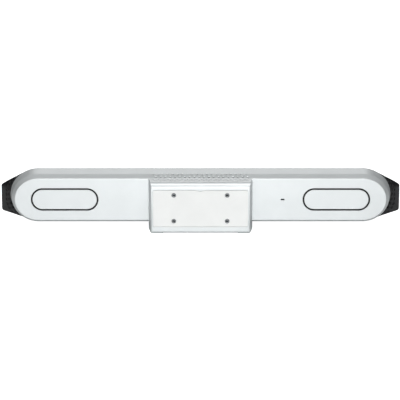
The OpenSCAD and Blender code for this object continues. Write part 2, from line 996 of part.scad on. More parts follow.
module speaker_box() {
    box_w = box_to - box_from;
    color("#232527")
        translate([(box_from + box_to) / 2, 0, 0])
            difference() {
                prism(box_z, baffle_back - box_z)
                    polygon(box_corners(box_w, 2 * box_half_h, box_round));
                prism(box_z + box_wall, baffle_back - box_z)
                    polygon(box_corners(box_w - 2 * box_wall, 2 * (box_half_h - box_wall), box_round));
                translate([port_x - (box_from + box_to) / 2, 0, 0])
                    prism(box_z - cut, box_wall + 2 * cut)
                        square([duct_l, duct_h / 2], center = true);
            }
}

module woofer_frame() {
    floor_z = woofer_flange_t - basket_d;
    inner_r = basket_r - basket_t;
    rim_inner_r = woofer_hole_r - 1.5 * basket_t;
    color("#3c3f42")
        translate([woofer_x, 0, baffle_front])
            difference() {
                rotate_extrude()
                    polygon([
                        [woofer_flange_r, 0], [woofer_flange_r, woofer_flange_t],
                        [rim_inner_r, woofer_flange_t], [inner_r, floor_z],
                        [basket_hole_r, floor_z], [basket_hole_r, floor_z - basket_t],
                        [basket_r, floor_z - basket_t], [woofer_hole_r - basket_t / 2, 0]
                    ]);
                for (turn_by = [0:90:270])
                    rotate(turn_by)
                        span([inner_r + basket_t, -basket_window.x / 2, floor_z + basket_t],
                            [woofer_hole_r, basket_window.x / 2, -basket_t]);
                for (turn_by = [45:90:315])
                    rotate(turn_by)
                        translate([woofer_screw_r, 0, woofer_flange_t])
                            screw_hole(woofer_flange_t + cut);
            }
}

module woofer_magnets() {
    color("#5a5d60")
        both_sides()
            translate([woofer_x, 0, baffle_front + magnet_top])
                rotate_extrude()
                    polygon([
                        [0, -magnet_l], [basket_r, -magnet_l], [basket_r, 0],
                        [basket_hole_r, 0], [basket_hole_r, -magnet_l + magnet_floor],
                        [pole_r, -magnet_l + magnet_floor], [pole_r, pole_rise], [0, pole_rise]
                    ]);
}

module woofer_cone() {
    color("#1d1e20")
        translate([woofer_x, 0, baffle_front])
            rotate_extrude()
                polygon([
                    [0, cone_foot + cone_t + cap_rise], [former_r * 2 / 3, cone_foot + cone_t + cap_rise * 2 / 3],
                    [former_r, cone_foot + cone_t], [cone_r, cone_top], [cone_r, cone_top - cone_t],
                    [former_r, cone_foot], [former_r, cone_foot - former_l],
                    [former_r - former_t, cone_foot - former_l], [former_r - former_t, cone_foot],
                    [former_r * 2 / 3, cone_foot + cap_rise * 2 / 3], [0, cone_foot + cap_rise]
                ]);
}

module woofer_surround() {
    from_r = cone_r + fit;
    to_r = woofer_hole_r;
    roll = (to_r - from_r) / 2;
    color("#101112")
        translate([woofer_x, 0, baffle_front + woofer_flange_t])
            rotate_extrude() {
                difference() {
                    translate([from_r + roll, 0])
                        circle(r = roll);
                    translate([from_r + roll, 0])
                        circle(r = roll - surround_t);
                    translate([0, -2 * roll])
                        square([2 * to_r, 2 * roll]);
                }
                translate([to_r - surround_t, 0])
                    square([surround_foot / 2, surround_t]);
            }
}

module tweeters() {
    color("#2e3033")
        both_sides()
            translate([tweeter_x, 0, baffle_front])
                rotate_extrude()
                    polygon([
                        [0, -tweeter_can_l], [tweeter_can_r, -tweeter_can_l], [tweeter_can_r, 0],
                        [tweeter_flange_r, 0], [tweeter_flange_r, woofer_flange_t],
                        [tweeter_mouth_r, woofer_flange_t],
                        [tweeter_mouth_r, woofer_flange_t - tweeter_mouth_d],
                        [0, woofer_flange_t - tweeter_mouth_d]
                    ]);
}

module tweeter_domes() {
    color("#77797b")
        both_sides()
            translate([tweeter_x, 0, baffle_front + woofer_flange_t - tweeter_mouth_d])
                difference() {
                    translate([0, 0, dome_rise - dome_r])
                        sphere(r = dome_r);
                    translate([0, 0, dome_rise - dome_r])
                        sphere(r = dome_r - dome_t);
                    translate([0, 0, -2 * dome_r])
                        cylinder(r = 2 * dome_r, h = 2 * dome_r);
                }
}

module driver_screws() {
    color("#b9bcbe")
        both_sides()
            translate([woofer_x, 0, baffle_front + woofer_flange_t])
                for (turn_by = [45:90:315])
                    rotate(turn_by)
                        translate([woofer_screw_r, 0, 0])
                            screw(short_screw_l);
}

module main_board() {
    color("#1f5c3a")
        difference() {
            prism(board_z, pcb_t)
                square(board_size, center = true);
            at_corners(board_post, 0, board_z + pcb_t)
                screw_hole(pcb_t + cut);
            at_corners(sink_post, 0, board_z + pcb_t)
                screw_hole(pcb_t + cut);
        }
}

module board_screws() {
    color("#b9bcbe") {
        at_corners(board_post, 0, board_z + pcb_t)
            screw(screw_l);
        at_corners(sink_post, 0, board_z + pcb_t)
            screw(short_screw_l);
        at_corners([mount_x / 2, mount_h / 2], mount_y, wall)
            screw(screw_l);
        for (side = [-1, 1])
            translate([side * jack_screw.x, jack_screw.y, jack_z])
                mirror([0, 0, 1])
                    screw(short_screw_l);
    }
}

module processor() {
    color("#303236")
        prism(board_z - processor_size.z, processor_size.z)
            square([processor_size.x, processor_size.y], center = true);
}

module memory_chips() {
    color("#26282b")
        for (i = [-2:1], y = [-1, 1])
            translate([(i + 0.5) * 1.5 * chip_size.x, y * chip_size.y, board_z + pcb_t])
                prism(0, chip_size.z)
                    square([chip_size.x, chip_size.y], center = true);
}

module thermal_pad() {
    color("#9aa7b5")
        prism(board_z - processor_size.z - pad_t, pad_t)
            square([processor_size.x, processor_size.y], center = true);
}

module heat_sink() {
    top = board_z - processor_size.z - pad_t;
    base = top - sink_base_t;
    pitch = (sink_size.x - sink_fin_t) / (sink_fins - 1);
    color("#a7abaf")
        difference() {
            union() {
                prism(base, sink_base_t)
                    square(sink_size, center = true);
                for (i = [0:sink_fins - 1])
                    translate([(i - (sink_fins - 1) / 2) * pitch, 0, 0])
                        prism(base - sink_fin_l, sink_fin_l + sink_base_t / 2)
                            square([sink_fin_t, sink_size.y], center = true);
                at_corners(sink_post, 0, base)
                    cylinder(d = boss_d, h = board_z - base);
            }
            at_corners(sink_post, 0, board_z)
                screw_hole(short_screw_l);
        }
}

module shield_can() {
    color("#b9bcbe")
        translate([can_place.x, can_place.y, board_z + pcb_t])
            difference() {
                prism(0, can_size.z)
                    square([can_size.x, can_size.y], center = true);
                prism(-cut, can_size.z - can_wall + cut)
                    square([can_size.x - 2 * can_wall, can_size.y - 2 * can_wall], center = true);
            }
}

module connector_board() {
    color("#1f5c3a")
        difference() {
            prism(jack_z, pcb_t)
                translate([0, jack_pcb.y / 2 - jack_drop])
                    square(jack_pcb, center = true);
            for (side = [-1, 1])
                translate([side * jack_screw.x, jack_screw.y, jack_z + pcb_t])
                    screw_hole(pcb_t + cut);
        }
}

// Socket on the board's rear side, its mouth facing down: size is width, length and height
module socket(x, size, mouth, tongue) {
    translate([x, -jack_drop, jack_z - size.z])
        difference() {
            span([-size.x / 2, 0, 0], [size.x / 2, size.y, size.z]);
            difference() {
                span([-mouth.x / 2, -cut, (size.z - mouth.z) / 2],
                    [mouth.x / 2, mouth.y, (size.z + mouth.z) / 2]);
                span([-tongue.x / 2, mouth.y - tongue.y, (size.z - tongue.z) / 2],
                    [tongue.x / 2, mouth.y + cut, (size.z + tongue.z) / 2]);
            }
        }
}

module hdmi_sockets() {
    color("#c9ccce")
        for (x = hdmi_places)
            socket(x, hdmi, hdmi_mouth, hdmi_tongue);
}

module usb_sockets() {
    color("#c9ccce") {
        socket(usb_a_x, usb_a, usb_a_mouth, usb_a_tongue);
        socket(usb_c_x, usb_c, usb_c_mouth, usb_c_tongue);
    }
}

module ethernet_socket() {
    color("#c9ccce")
        translate([ethernet_x, -jack_drop, jack_z - ethernet.z])
            difference() {
                span([-ethernet.x / 2, 0, 0], [ethernet.x / 2, ethernet.y, ethernet.z]);
                span([-ethernet_mouth.x / 2, -cut, ethernet_latch.z],
                    [ethernet_mouth.x / 2, ethernet_mouth.y, ethernet_latch.z + ethernet_mouth.z]);
                span([-ethernet_latch.x / 2, -cut, ethernet_latch.z / 2],
                    [ethernet_latch.x / 2, ethernet_latch.y, 2 * ethernet_latch.z]);
            }
}

module power_socket() {
    color("#17181a")
        translate([power_x, -jack_drop, jack_z - power.z])
            difference() {
                span([-power.x / 2, 0, 0], [power.x / 2, power.y, power.z]);
                translate([0, -cut, power.z / 2])
                    rotate([-90, 0, 0])
                        difference() {
                            cylinder(d = power_bore_d, h = power_bore_l + cut);
                            translate([0, 0, power_bore_l - power_pin_l + cut])
                                cylinder(d = power_pin_d, h = power_pin_l + cut);
                        }
            }
}

module reset_switch() {
    color("#303236")
        translate([0, reset_y, jack_z - reset_body.z])
            difference() {
                prism(0, reset_body.z)
                    square([reset_body.x, reset_body.y], center = true);
                translate([0, 0, -cut])
                    cylinder(d = reset_d + 2 * reset_fit, h = reset_depth + reset_travel + fit + cut);
            }
}

module reset_button() {
    color("#2b2d2f")
        translate([0, reset_y, jack_z - reset_body.z - reset_rise])
            cylinder(d = reset_d, h = reset_rise + reset_depth);
}

module antennas() {
    color("#1f5c3a")
        both_sides()
            translate([antenna_place.x, antenna_place.y, 0])
                prism(baffle_back - antenna_size.z, antenna_size.z)
                    square([antenna_size.x, antenna_size.y], center = true);
}

// Flat cable from the camera to the main board, and one from there to the connector board
module ribbon_cables() {
    color("#d9d4c4") {
        camera_y = camera_pcb_y - camera_pcb.y / 2;
        span([-flex_w / 2, camera_y - flex_t, board_z + pcb_t], [flex_w / 2, camera_y, barrel_z]);
        span([-flex_w / 2, passage_y, jack_z + pcb_t], [flex_w / 2, passage_y + flex_t, board_z]);
        span([-flex_w / 2, jack_screw.y, jack_z + pcb_t],
            [flex_w / 2, passage_y + flex_t, jack_z + pcb_t + flex_t]);
    }
}

// Left-hand pieces are the right-hand ones mirrored
module mirrored() {
    mirror([1, 0, 0])
        children();
}

stand() {
    rear_housing();
    connector_housing();
    cable_cover();
    mount_inserts();
    rubber_feet();
    lock_plate();
    mirrored() port_cover();  // port_cover_left
    port_cover();  // port_cover_right
    mirrored() port_liner();  // port_liner_left
    port_liner();  // port_liner_right
    front_baffle();
    baffle_screws();
    mirrored() grille();  // grille_left
    grille();  // grille_right
    mirrored() acoustic_cloth();  // acoustic_cloth_left
    acoustic_cloth();  // acoustic_cloth_right
    grille_screws();
    camera_bezel();
    lens_window();
    shutter_carrier();
    privacy_shutter();
    camera_bracket();
    camera_board();
    camera_screws();
    image_sensor();
    lens_barrel();
    lens_elements();
    status_light_pipe();
    status_led_board();
    microphone_boards();
    microphones();
    mirrored() speaker_box();  // speaker_box_left
    speaker_box();  // speaker_box_right
    mirrored() woofer_frame();  // woofer_frame_left
    woofer_frame();  // woofer_frame_right
    woofer_magnets();
    mirrored() woofer_cone();  // woofer_cone_left
    woofer_cone();  // woofer_cone_right
    mirrored() woofer_surround();  // woofer_surround_left
    woofer_surround();  // woofer_surround_right
    tweeters();
    tweeter_domes();
    driver_screws();
    main_board();
    board_screws();
    processor();
    memory_chips();
    thermal_pad();
    heat_sink();
    shield_can();
    connector_board();
    reset_switch();
    reset_button();
    hdmi_sockets();
    usb_sockets();
    ethernet_socket();
    power_socket();
    antennas();
    ribbon_cables();
}
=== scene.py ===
"""Conference camera bar: its dressed pieces, a plain studio and the camera.

The pieces are shaped in the bar's own frame, in millimetres: x to the side, y up from the
housing's axis and z forward from the rear plate. Bar.stand sets that frame upright in metres.
Left and right are as seen by somebody who faces the lens.
"""

from __future__ import annotations

import json
import logging
import math
from collections.abc import Iterable, Sequence
from dataclasses import dataclass
from enum import Enum
from typing import Any

import bmesh
import bpy
from bmesh.types import BMEdge, BMesh, BMVert
from mathutils import Matrix, Vector

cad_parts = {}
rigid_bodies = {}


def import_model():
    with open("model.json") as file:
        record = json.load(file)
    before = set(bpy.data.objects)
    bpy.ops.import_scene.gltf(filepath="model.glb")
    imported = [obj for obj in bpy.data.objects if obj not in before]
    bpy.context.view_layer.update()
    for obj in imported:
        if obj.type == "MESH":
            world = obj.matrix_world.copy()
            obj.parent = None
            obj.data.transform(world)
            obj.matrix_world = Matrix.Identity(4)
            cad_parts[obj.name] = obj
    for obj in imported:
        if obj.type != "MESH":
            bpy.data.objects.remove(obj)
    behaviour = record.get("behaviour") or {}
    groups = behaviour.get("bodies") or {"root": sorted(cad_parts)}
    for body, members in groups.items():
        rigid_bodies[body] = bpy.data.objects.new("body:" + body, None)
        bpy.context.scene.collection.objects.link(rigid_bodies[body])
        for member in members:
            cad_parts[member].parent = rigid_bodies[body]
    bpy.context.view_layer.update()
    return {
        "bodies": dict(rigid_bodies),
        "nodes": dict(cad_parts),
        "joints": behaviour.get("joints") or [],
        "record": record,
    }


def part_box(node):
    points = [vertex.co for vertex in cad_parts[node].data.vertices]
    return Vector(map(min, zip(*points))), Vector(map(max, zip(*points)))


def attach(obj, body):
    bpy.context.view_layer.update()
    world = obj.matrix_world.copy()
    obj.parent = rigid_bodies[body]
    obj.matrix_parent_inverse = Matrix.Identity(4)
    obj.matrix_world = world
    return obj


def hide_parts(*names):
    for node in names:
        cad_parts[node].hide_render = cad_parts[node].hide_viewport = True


LOG = logging.getLogger("camera_bar")

MM = 0.001
SIDES = 128  # sides of a large round end
HOLE_SIDES = 48  # sides of a small round hole
LENS_SIDES = 96  # sides of the window and its glass
POST_SIDES = 24  # sides of a post
BORE_SIDES = 32  # sides of a post for an insert and of its bore
LEVEL = 1e-6  # an edge whose ends differ less than this in depth is level, in mm
WELD = 1e-4  # points that lie closer than this are one, in mm
OVERRUN = 1.0  # how far a cut passes the face that it opens, in mm
FULL_TURN = 2 * math.pi

Point = tuple[float, float]
Corner = tuple[float, float, float]
Colour = tuple[float, float, float, float]


def linear(code: str) -> Colour:
    """Turn an sRGB hex code into the linear colour that the renderer reads.

    Args:
        code: Six hex digits, with or without the leading mark.

    Returns:
        Red, green, blue and an alpha of 1.
    """
    digits = code.lstrip("#")
    channels = [int(digits[i : i + 2], 16) / 255 for i in (0, 2, 4)]
    red, green, blue = (c / 12.92 if c <= 0.04045 else ((c + 0.055) / 1.055) ** 2.4 for c in channels)
    return (red, green, blue, 1.0)


def add_node(tree: bpy.types.NodeTree, kind: str, sockets: dict[str | int, Any], **settings: Any) -> bpy.types.Node:
    """Add a shader node with its settings, its socket values and its links.

    Args:
        tree: The node tree that gets the node.
        kind: The node's type, without its ShaderNode prefix.
        sockets: Input name or number, and the value or the output socket that feeds it.
        **settings: Properties of the node itself.

    Returns:
        The new node.
    """
    node = tree.nodes.new(f"ShaderNode{kind}")
    for name, value in settings.items():
        setattr(node, name, value)
    for socket, value in sockets.items():
        if isinstance(value, bpy.types.NodeSocket):
            tree.links.new(value, node.inputs[socket])
        else:
            node.inputs[socket].default_value = value
    return node


class Pattern(Enum):
    """How a finish breaks up its surface."""

    GRAIN = "grain of a spark-eroded mould or of a fine paint"
    BRUSHED = "long fine scratches along the bar"
    WOVEN = "warp and weft threads"
    TRACKS = "copper tracks under solder mask"
    RINGS = "rings round an axis that points forward"
    CLEAR = "nothing but faint smears"


@dataclass(frozen=True)
class Finish:
    """A finish of one real material, built as a procedural node material.

    Attributes:
        name: What the material is, in a maker's words.
        colour: Its main colour, as an sRGB hex code.
        shade: The colour that it drifts to from place to place.
        pattern: How its surface is broken up.
        size: Real size of one grain, scratch, thread or track, in mm.
        depth: Height of that pattern, in mm.
        roughness: Mean roughness.
        spread: How far the roughness moves to each side of the mean.
        metallic: 1 for bare metal.
        ior: Index of refraction; a metal keeps the default.
        coat: Weight of a clear coat.
        sheen: Weight of the fuzz on cloth.
        clear: Share of the light that passes through.
        drift: Size of the colour's drift, in mm.
    """

    name: str
    colour: str
    shade: str
    pattern: Pattern = Pattern.GRAIN
    size: float = 0.6
    depth: float = 0.01
    roughness: float = 0.45
    spread: float = 0.05
    metallic: float = 0.0
    ior: float = 1.5
    coat: float = 0.0
    sheen: float = 0.0
    clear: float = 0.0
    drift: float = 45.0

    def material(self) -> bpy.types.Material:
        """Return the finish's material, built on first use."""
        made = bpy.data.materials.get(self.name)
        return made if made else self._build()

    def _build(self) -> bpy.types.Material:
        """Build the node tree: drift of colour, roughness and a fine bump."""
        material = bpy.data.materials.new(self.name)
        material.use_nodes = True
        tree = material.node_tree
        tree.nodes.clear()
        place = add_node(tree, "TexCoord", {}).outputs["Object"]
        drift = self._noise(tree, place, self.drift, 3.0)
        pattern = self._pattern(tree, place)
        blend = add_node(tree, "MapRange", {"Value": drift, "From Min": 0.35, "From Max": 0.65})
        colour = add_node(
            tree,
            "Mix",
            {"Factor": blend.outputs["Result"], "A": linear(self.colour), "B": linear(self.shade)},
            data_type="RGBA",
        )
        rough = add_node(
            tree,
            "MapRange",
            {
                "Value": pattern,
                "To Min": max(self.roughness - self.spread, 0.0),
                "To Max": self.roughness + self.spread,
            },
        )
        bump = add_node(tree, "Bump", {"Height": pattern, "Distance": self.depth * MM, "Strength": 1.0})
        sockets = {
            "Base Color": colour.outputs[2] if self.clear < 1 else linear(self.colour),
            "Roughness": rough.outputs["Result"],
            "Normal": bump.outputs["Normal"],
            "Metallic": self.metallic,
            "IOR": self.ior,
            "Coat Weight": self.coat,
            "Coat Roughness": 0.12,
            "Sheen Weight": self.sheen,
            "Transmission Weight": self.clear,
        }
        if self.pattern is Pattern.TRACKS:
            sockets["Base Color"] = self._tracks(tree, place, colour.outputs[2])
        shader = add_node(tree, "BsdfPrincipled", sockets)
        add_node(tree, "OutputMaterial", {"Surface": shader.outputs["BSDF"]})
        return material

    @staticmethod
    def _noise(tree: bpy.types.NodeTree, place: Any, size: float, detail: float) -> bpy.types.NodeSocket:
        """Return noise whose features are about size mm wide."""
        sockets = {"Vector": place, "Scale": 1 / (size * MM), "Detail": detail, "Roughness": 0.55}
        return add_node(tree, "TexNoise", sockets).outputs["Fac"]

    def _pattern(self, tree: bpy.types.NodeTree, place: Any) -> bpy.types.NodeSocket:
        """Return the height of the finish's pattern, from 0 to 1."""
        if self.pattern is Pattern.BRUSHED:
            stretched = add_node(tree, "Mapping", {"Vector": place, "Scale": (0.02, 1.0, 1.0)})
            return self._noise(tree, stretched.outputs["Vector"], self.size, 2.0)
        if self.pattern is Pattern.WOVEN:
            turns = FULL_TURN / (self.size * MM)
            parts = add_node(tree, "SeparateXYZ", {"Vector": place})
            slope = add_node(tree, "Math", {0: parts.outputs["Y"], 1: parts.outputs["Z"]}, operation="ADD")
            warp, weft = (self._thread(tree, socket, turns) for socket in (parts.outputs["X"], slope.outputs[0]))
            return add_node(tree, "Math", {0: warp, 1: weft}, operation="MULTIPLY").outputs[0]
        if self.pattern is Pattern.RINGS:
            sockets = {"Vector": place, "Scale": 1 / (self.size * MM), "Distortion": 0.4, "Detail": 2.0}
            return add_node(tree, "TexWave", sockets, wave_type="RINGS", rings_direction="Y").outputs["Fac"]
        return self._noise(tree, place, self.size, 3.0 if self.pattern is Pattern.GRAIN else 1.0)

    @staticmethod
    def _thread(tree: bpy.types.NodeTree, place: Any, turns: float) -> bpy.types.NodeSocket:
        """Return the rounded height of a row of threads along one axis."""
        phase = add_node(tree, "Math", {0: place, 1: turns}, operation="MULTIPLY")
        wave = add_node(tree, "Math", {0: phase.outputs[0]}, operation="SINE")
        return add_node(tree, "Math", {0: wave.outputs[0], 1: 0.5, 2: 0.5}, operation="MULTIPLY_ADD").outputs[0]

    def _tracks(self, tree: bpy.types.NodeTree, place: Any, mask: Any) -> bpy.types.NodeSocket:
        """Return the mask's colour with lighter tracks and tinned pads in it."""
        tracks = add_node(
            tree,
            "TexBrick",
            {
                "Vector": place,
                "Color1": (0, 0, 0, 1),
                "Color2": (0, 0, 0, 1),
                "Mortar": (1, 1, 1, 1),
                "Scale": 1 / (8 * self.size * MM),
                "Mortar Size": 0.012,
                "Brick Width": 0.9,
                "Row Height": 0.22,
            },
        )
        pads = add_node(tree, "TexVoronoi", {"Vector": place, "Scale": 1 / (4 * self.size * MM)})
        pad = add_node(tree, "Math", {0: pads.outputs["Distance"], 1: 0.16}, operation="LESS_THAN")
        lit = add_node(
            tree,
            "Mix",
            {"Factor": tracks.outputs["Color"], "A": mask, "B": linear("3f8a5c")},
            data_type="RGBA",
        )
        return add_node(
            tree, "Mix", {"Factor": pad.outputs[0], "A": lit.outputs[2], "B": linear("c9c6b8")}, data_type="RGBA"
        ).outputs[2]


# Silver-white paint with a little metal flake on moulded ABS: a soft sheen with a fine grain.
SILVER_PAINT = Finish(
    "painted ABS, silver white", "ced2d3", "cbcfd0", size=0.9, depth=0.012, roughness=0.42, metallic=0.3
)
# Satin white moulded ABS: a little whiter and duller than the paint round it.
WHITE_ABS = Finish("moulded ABS, white", "e3e4e3", "dfe0df", size=0.8, depth=0.012, roughness=0.48)
# Turned steel of the thread inserts: dull grey with fine turning rings.
INSERT_STEEL = Finish(
    "turned steel", "8f9294", "7d8082", Pattern.RINGS, size=0.3, depth=0.004, roughness=0.34, metallic=1.0, drift=4.0
)
# Silicone rubber of the feet: matt light grey.
GREY_RUBBER = Finish("silicone rubber, grey", "c4c8c9", "bcc0c1", size=0.7, depth=0.02, roughness=0.7)
# Blackened steel behind the lock slot: dark and dull.
DARK_STEEL = Finish(
    "blackened steel", "1c1d1f", "17181a", Pattern.BRUSHED, size=0.4, roughness=0.55, metallic=1.0, drift=8.0
)
# Black ABS of hidden carriers and liners, with a spark-eroded mould texture.
BLACK_ABS = Finish("moulded ABS, black", "1b1c1e", "17181a", size=0.9, depth=0.03, roughness=0.5)
# Moulded black grille: satin, its smooth lip catches a soft highlight.
GRILLE_BLACK = Finish("moulded ABS, satin black", "17181a", "141517", size=0.7, depth=0.01, roughness=0.33)
# Acoustic cloth: a plain weave of black yarn; the real 0.3 mm threads are drawn 0.9 mm wide.
ACOUSTIC_CLOTH = Finish(
    "woven polyester, black", "0c0c0d", "090909", Pattern.WOVEN, size=0.9, depth=0.12, roughness=0.9, sheen=0.25
)
# Zinc-plated steel of screws and brackets: pale metal with a cloudy drift.
ZINC_STEEL = Finish(
    "zinc-plated steel", "b9bdc0", "a5aaae", size=0.5, depth=0.004, roughness=0.34, metallic=1.0, drift=6.0
)
# Gloss black fascia: mirror-smooth acrylic-faced ABS.
GLOSS_BLACK = Finish(
    "acrylic-faced ABS, gloss black", "0a0b0c", "090a0b", Pattern.CLEAR, 30.0, 0.004, 0.06, 0.02, coat=1.0
)
# Coated cover glass: clear with a cool tint.
COVER_GLASS = Finish(
    "coated glass", "dfe8ee", "dfe8ee", Pattern.CLEAR, 14.0, 0.0004, 0.02, 0.015, ior=1.46, clear=1.0
)
# Acetal of the shutter and the reset button: smooth dark grey.
GREY_ACETAL = Finish("acetal, dark grey", "2b2d2f", "262829", size=0.6, depth=0.008, roughness=0.38, drift=12.0)
# Circuit board: green solder mask over tracks, with tinned pads; real tracks are finer.
CIRCUIT_BOARD = Finish(
    "glass-epoxy laminate", "1c5a39", "184f32", Pattern.TRACKS, size=0.6, depth=0.02, roughness=0.35, drift=20.0
)
# Image sensor under its cover: a bluish mirror.
SENSOR_GLASS = Finish("silicon sensor", "34486e", "2b3a66", Pattern.CLEAR, 3.0, 0.001, 0.1, 0.03, coat=1.0, drift=4.0)
# Anodised lens barrel: dull black that swallows stray light.
BARREL_BLACK = Finish(
    "anodised aluminium, black", "151617", "111213", Pattern.RINGS, size=0.5, depth=0.01, roughness=0.5
)
# Coated lens glass: clear with a faint violet tint.
LENS_GLASS = Finish("optical glass", "d6dcf2", "d6dcf2", Pattern.CLEAR, 8.0, 0.0003, 0.01, 0.005, ior=1.62, clear=1.0)
# Light pipe: milky polycarbonate.
LIGHT_PIPE = Finish(
    "polycarbonate, opal", "e6eef2", "dbe5ea", size=0.5, depth=0.004, roughness=0.3, ior=1.58, clear=0.35, drift=8.0
)
# Gold-plated microphone can.
MICROPHONE_GOLD = Finish(
    "gold-plated brass", "c9a658", "bb984c", Pattern.BRUSHED, size=0.3, depth=0.002, roughness=0.3, metallic=1.0
)
# Pressed and blacked steel of the loudspeaker baskets.
BASKET_STEEL = Finish("enamelled steel, black", "3a3d40", "34373a", size=0.8, depth=0.01, roughness=0.42, coat=0.3)
# Ferrite magnets: dark grey, matt and slightly rough.
FERRITE = Finish("sintered ferrite", "55585b", "4b4e51", size=0.4, depth=0.03, roughness=0.7, drift=6.0)
# Pressed paper cones: soft black with short fibres.
PAPER_CONE = Finish("pressed paper, black", "1f2022", "28292b", size=0.5, depth=0.05, roughness=0.85, drift=5.0)
# Butyl rubber surround.
BLACK_RUBBER = Finish("butyl rubber", "131415", "101112", size=0.6, depth=0.02, roughness=0.6, drift=9.0)
# Doped silk domes: grey with the weave just showing.
SILK_DOME = Finish(
    "doped silk", "74777a", "6b6e71", Pattern.WOVEN, size=0.5, depth=0.03, roughness=0.45, sheen=0.3, drift=6.0
)
# Black epoxy of the chips.
CHIP_EPOXY = Finish("moulded epoxy, black", "26282b", "2c2e31", size=0.3, depth=0.01, roughness=0.55, drift=5.0)
# Thermal pad: soft bluish silicone.
THERMAL_RUBBER = Finish("filled silicone", "98a5b3", "8c99a7", size=0.5, depth=0.03, roughness=0.8, drift=6.0)
# Extruded heat sink: natural aluminium with draw lines.
SINK_ALUMINIUM = Finish(
    "extruded aluminium", "aeb2b6", "a2a6aa", Pattern.BRUSHED, size=0.4, depth=0.008, roughness=0.38, metallic=1.0
)
# Tinned steel of cans and socket shells.
TINNED_STEEL = Finish(
    "tinned steel", "c6c9cb", "babdbf", Pattern.BRUSHED, size=0.3, depth=0.004, roughness=0.26, metallic=1.0, drift=7.0
)
# Flat cable: cream film over copper.
RIBBON_FILM = Finish(
    "polyester film, cream", "d8d3c3", "cdc7b4", Pattern.BRUSHED, size=0.8, depth=0.02, roughness=0.4, drift=7.0
)


def turn_of(a: Vector, b: Vector) -> float:
    """Return 1 where b lies to the left of a, else -1."""
    return 1.0 if a.x * b.y - a.y * b.x > 0 else -1.0


def rounded(corners: Sequence[Corner], steps: int = 8) -> list[Point]:
    """Draw an outline whose corners are each rounded by their own radius.

    Args:
        corners: Places and radii of the corners, in order.
        steps: Straight steps in each rounded corner.

    Returns:
        The outline's points.
    """
    outline: list[Point] = []
    for i, (x, y, radius) in enumerate(corners):
        here = Vector((x, y))
        if radius <= 0:
            outline.append((x, y))
            continue
        to_last = (Vector(corners[i - 1][:2]) - here).normalized()
        to_next = (Vector(corners[(i + 1) % len(corners)][:2]) - here).normalized()
        half = math.acos(max(-1.0, min(1.0, to_last.dot(to_next)))) / 2
        centre = here + (to_last + to_next).normalized() * radius / math.sin(half)
        first = here + to_last * radius / math.tan(half) - centre
        last = here + to_next * radius / math.tan(half) - centre
        start = math.atan2(first.y, first.x)
        sweep = turn_of(first, last) * (math.pi - 2 * half)
        for k in range(steps + 1):
            angle = start + sweep * k / steps
            outline.append((centre.x + radius * math.cos(angle), centre.y + radius * math.sin(angle)))
    return outline


def box_outline(width: float, height: float, radius: float, x: float = 0.0, y: float = 0.0) -> list[Point]:
    """Return the outline of a rounded rectangle round (x, y)."""
    signs = ((1, 1), (-1, 1), (-1, -1), (1, -1))
    return rounded([(x + i * width / 2, y + j * height / 2, radius) for i, j in signs])


def notched_box(width: float, height: float, radius: float, y: float, notch: Point, steps: int = 12) -> list[Point]:
    """Return a rounded rectangle whose upper edge dips in the middle.

    Args:
        width: Its width.
        height: Its height.
        radius: Radius of its corners.
        y: Height of its middle.
        notch: Half width and depth of the dip.
        steps: Straight steps in the dip.

    Returns:
        The outline's points.
    """
    outline = box_outline(width, height, radius, 0.0, y)
    half, depth = notch
    shares = [1 - 2 * k / steps for k in range(steps + 1)]
    dip = [(half * share, y + height / 2 - depth * (1 - share**2)) for share in shares]
    corner = len(outline) // 4
    return outline[:corner] + dip + outline[corner:]


def verts_of(made: dict[str, list[Any]], key: str = "geom") -> list[BMVert]:
    """Return the vertices among what an operator made."""
    return [item for item in made[key] if isinstance(item, BMVert)]


@dataclass(frozen=True)
class Oval:
    """A flat oval whose round ends stand apart.

    Attributes:
        run: Half length of the straight stretches.
        x: Place of its middle along the bar.
        stretch: How much longer than half its height a round end is.
        sides: Sides of both ends together, an even number.
    """

    run: float = 0.0
    x: float = 0.0
    stretch: float = 1.0
    sides: int = SIDES


def oval_ring(bm: BMesh, oval: Oval, radius: float, z: float) -> list[BMVert]:
    """Add an oval ring: a circle whose halves stand apart.

    Args:
        bm: The mesh that gets the ring.
        oval: The ring's shape.
        radius: Half its height.
        z: Its depth.

    Returns:
        The ring's points, in order.
    """
    turned = Matrix.Translation((0, 0, z)) @ Matrix.Rotation(math.pi / oval.sides, 4, "Z")
    reach = radius / math.cos(math.pi / oval.sides)
    made = bmesh.ops.create_circle(bm, cap_ends=False, segments=oval.sides, radius=reach, matrix=turned)
    for vert in made["verts"]:
        vert.co.x = vert.co.x * oval.stretch + math.copysign(oval.run, vert.co.x) + oval.x
    return made["verts"]


def oval_solid(profile: Sequence[Point], oval: Oval) -> BMesh:
    """Loft a closed solid through oval rings.

    Args:
        profile: Half the height and the depth of each ring, in order.
        oval: The rings' shape.

    Returns:
        The solid's mesh.
    """
    bm = bmesh.new()
    rings = [oval_ring(bm, oval, radius, z) for radius, z in profile]
    for ring, following in zip(rings, rings[1:]):
        for k in range(oval.sides):
            bm.faces.new((ring[k - 1], ring[k], following[k], following[k - 1]))
    for end in (rings[0], rings[-1]):
        bm.faces.new(end)
    bmesh.ops.recalc_face_normals(bm, faces=bm.faces)
    return bm


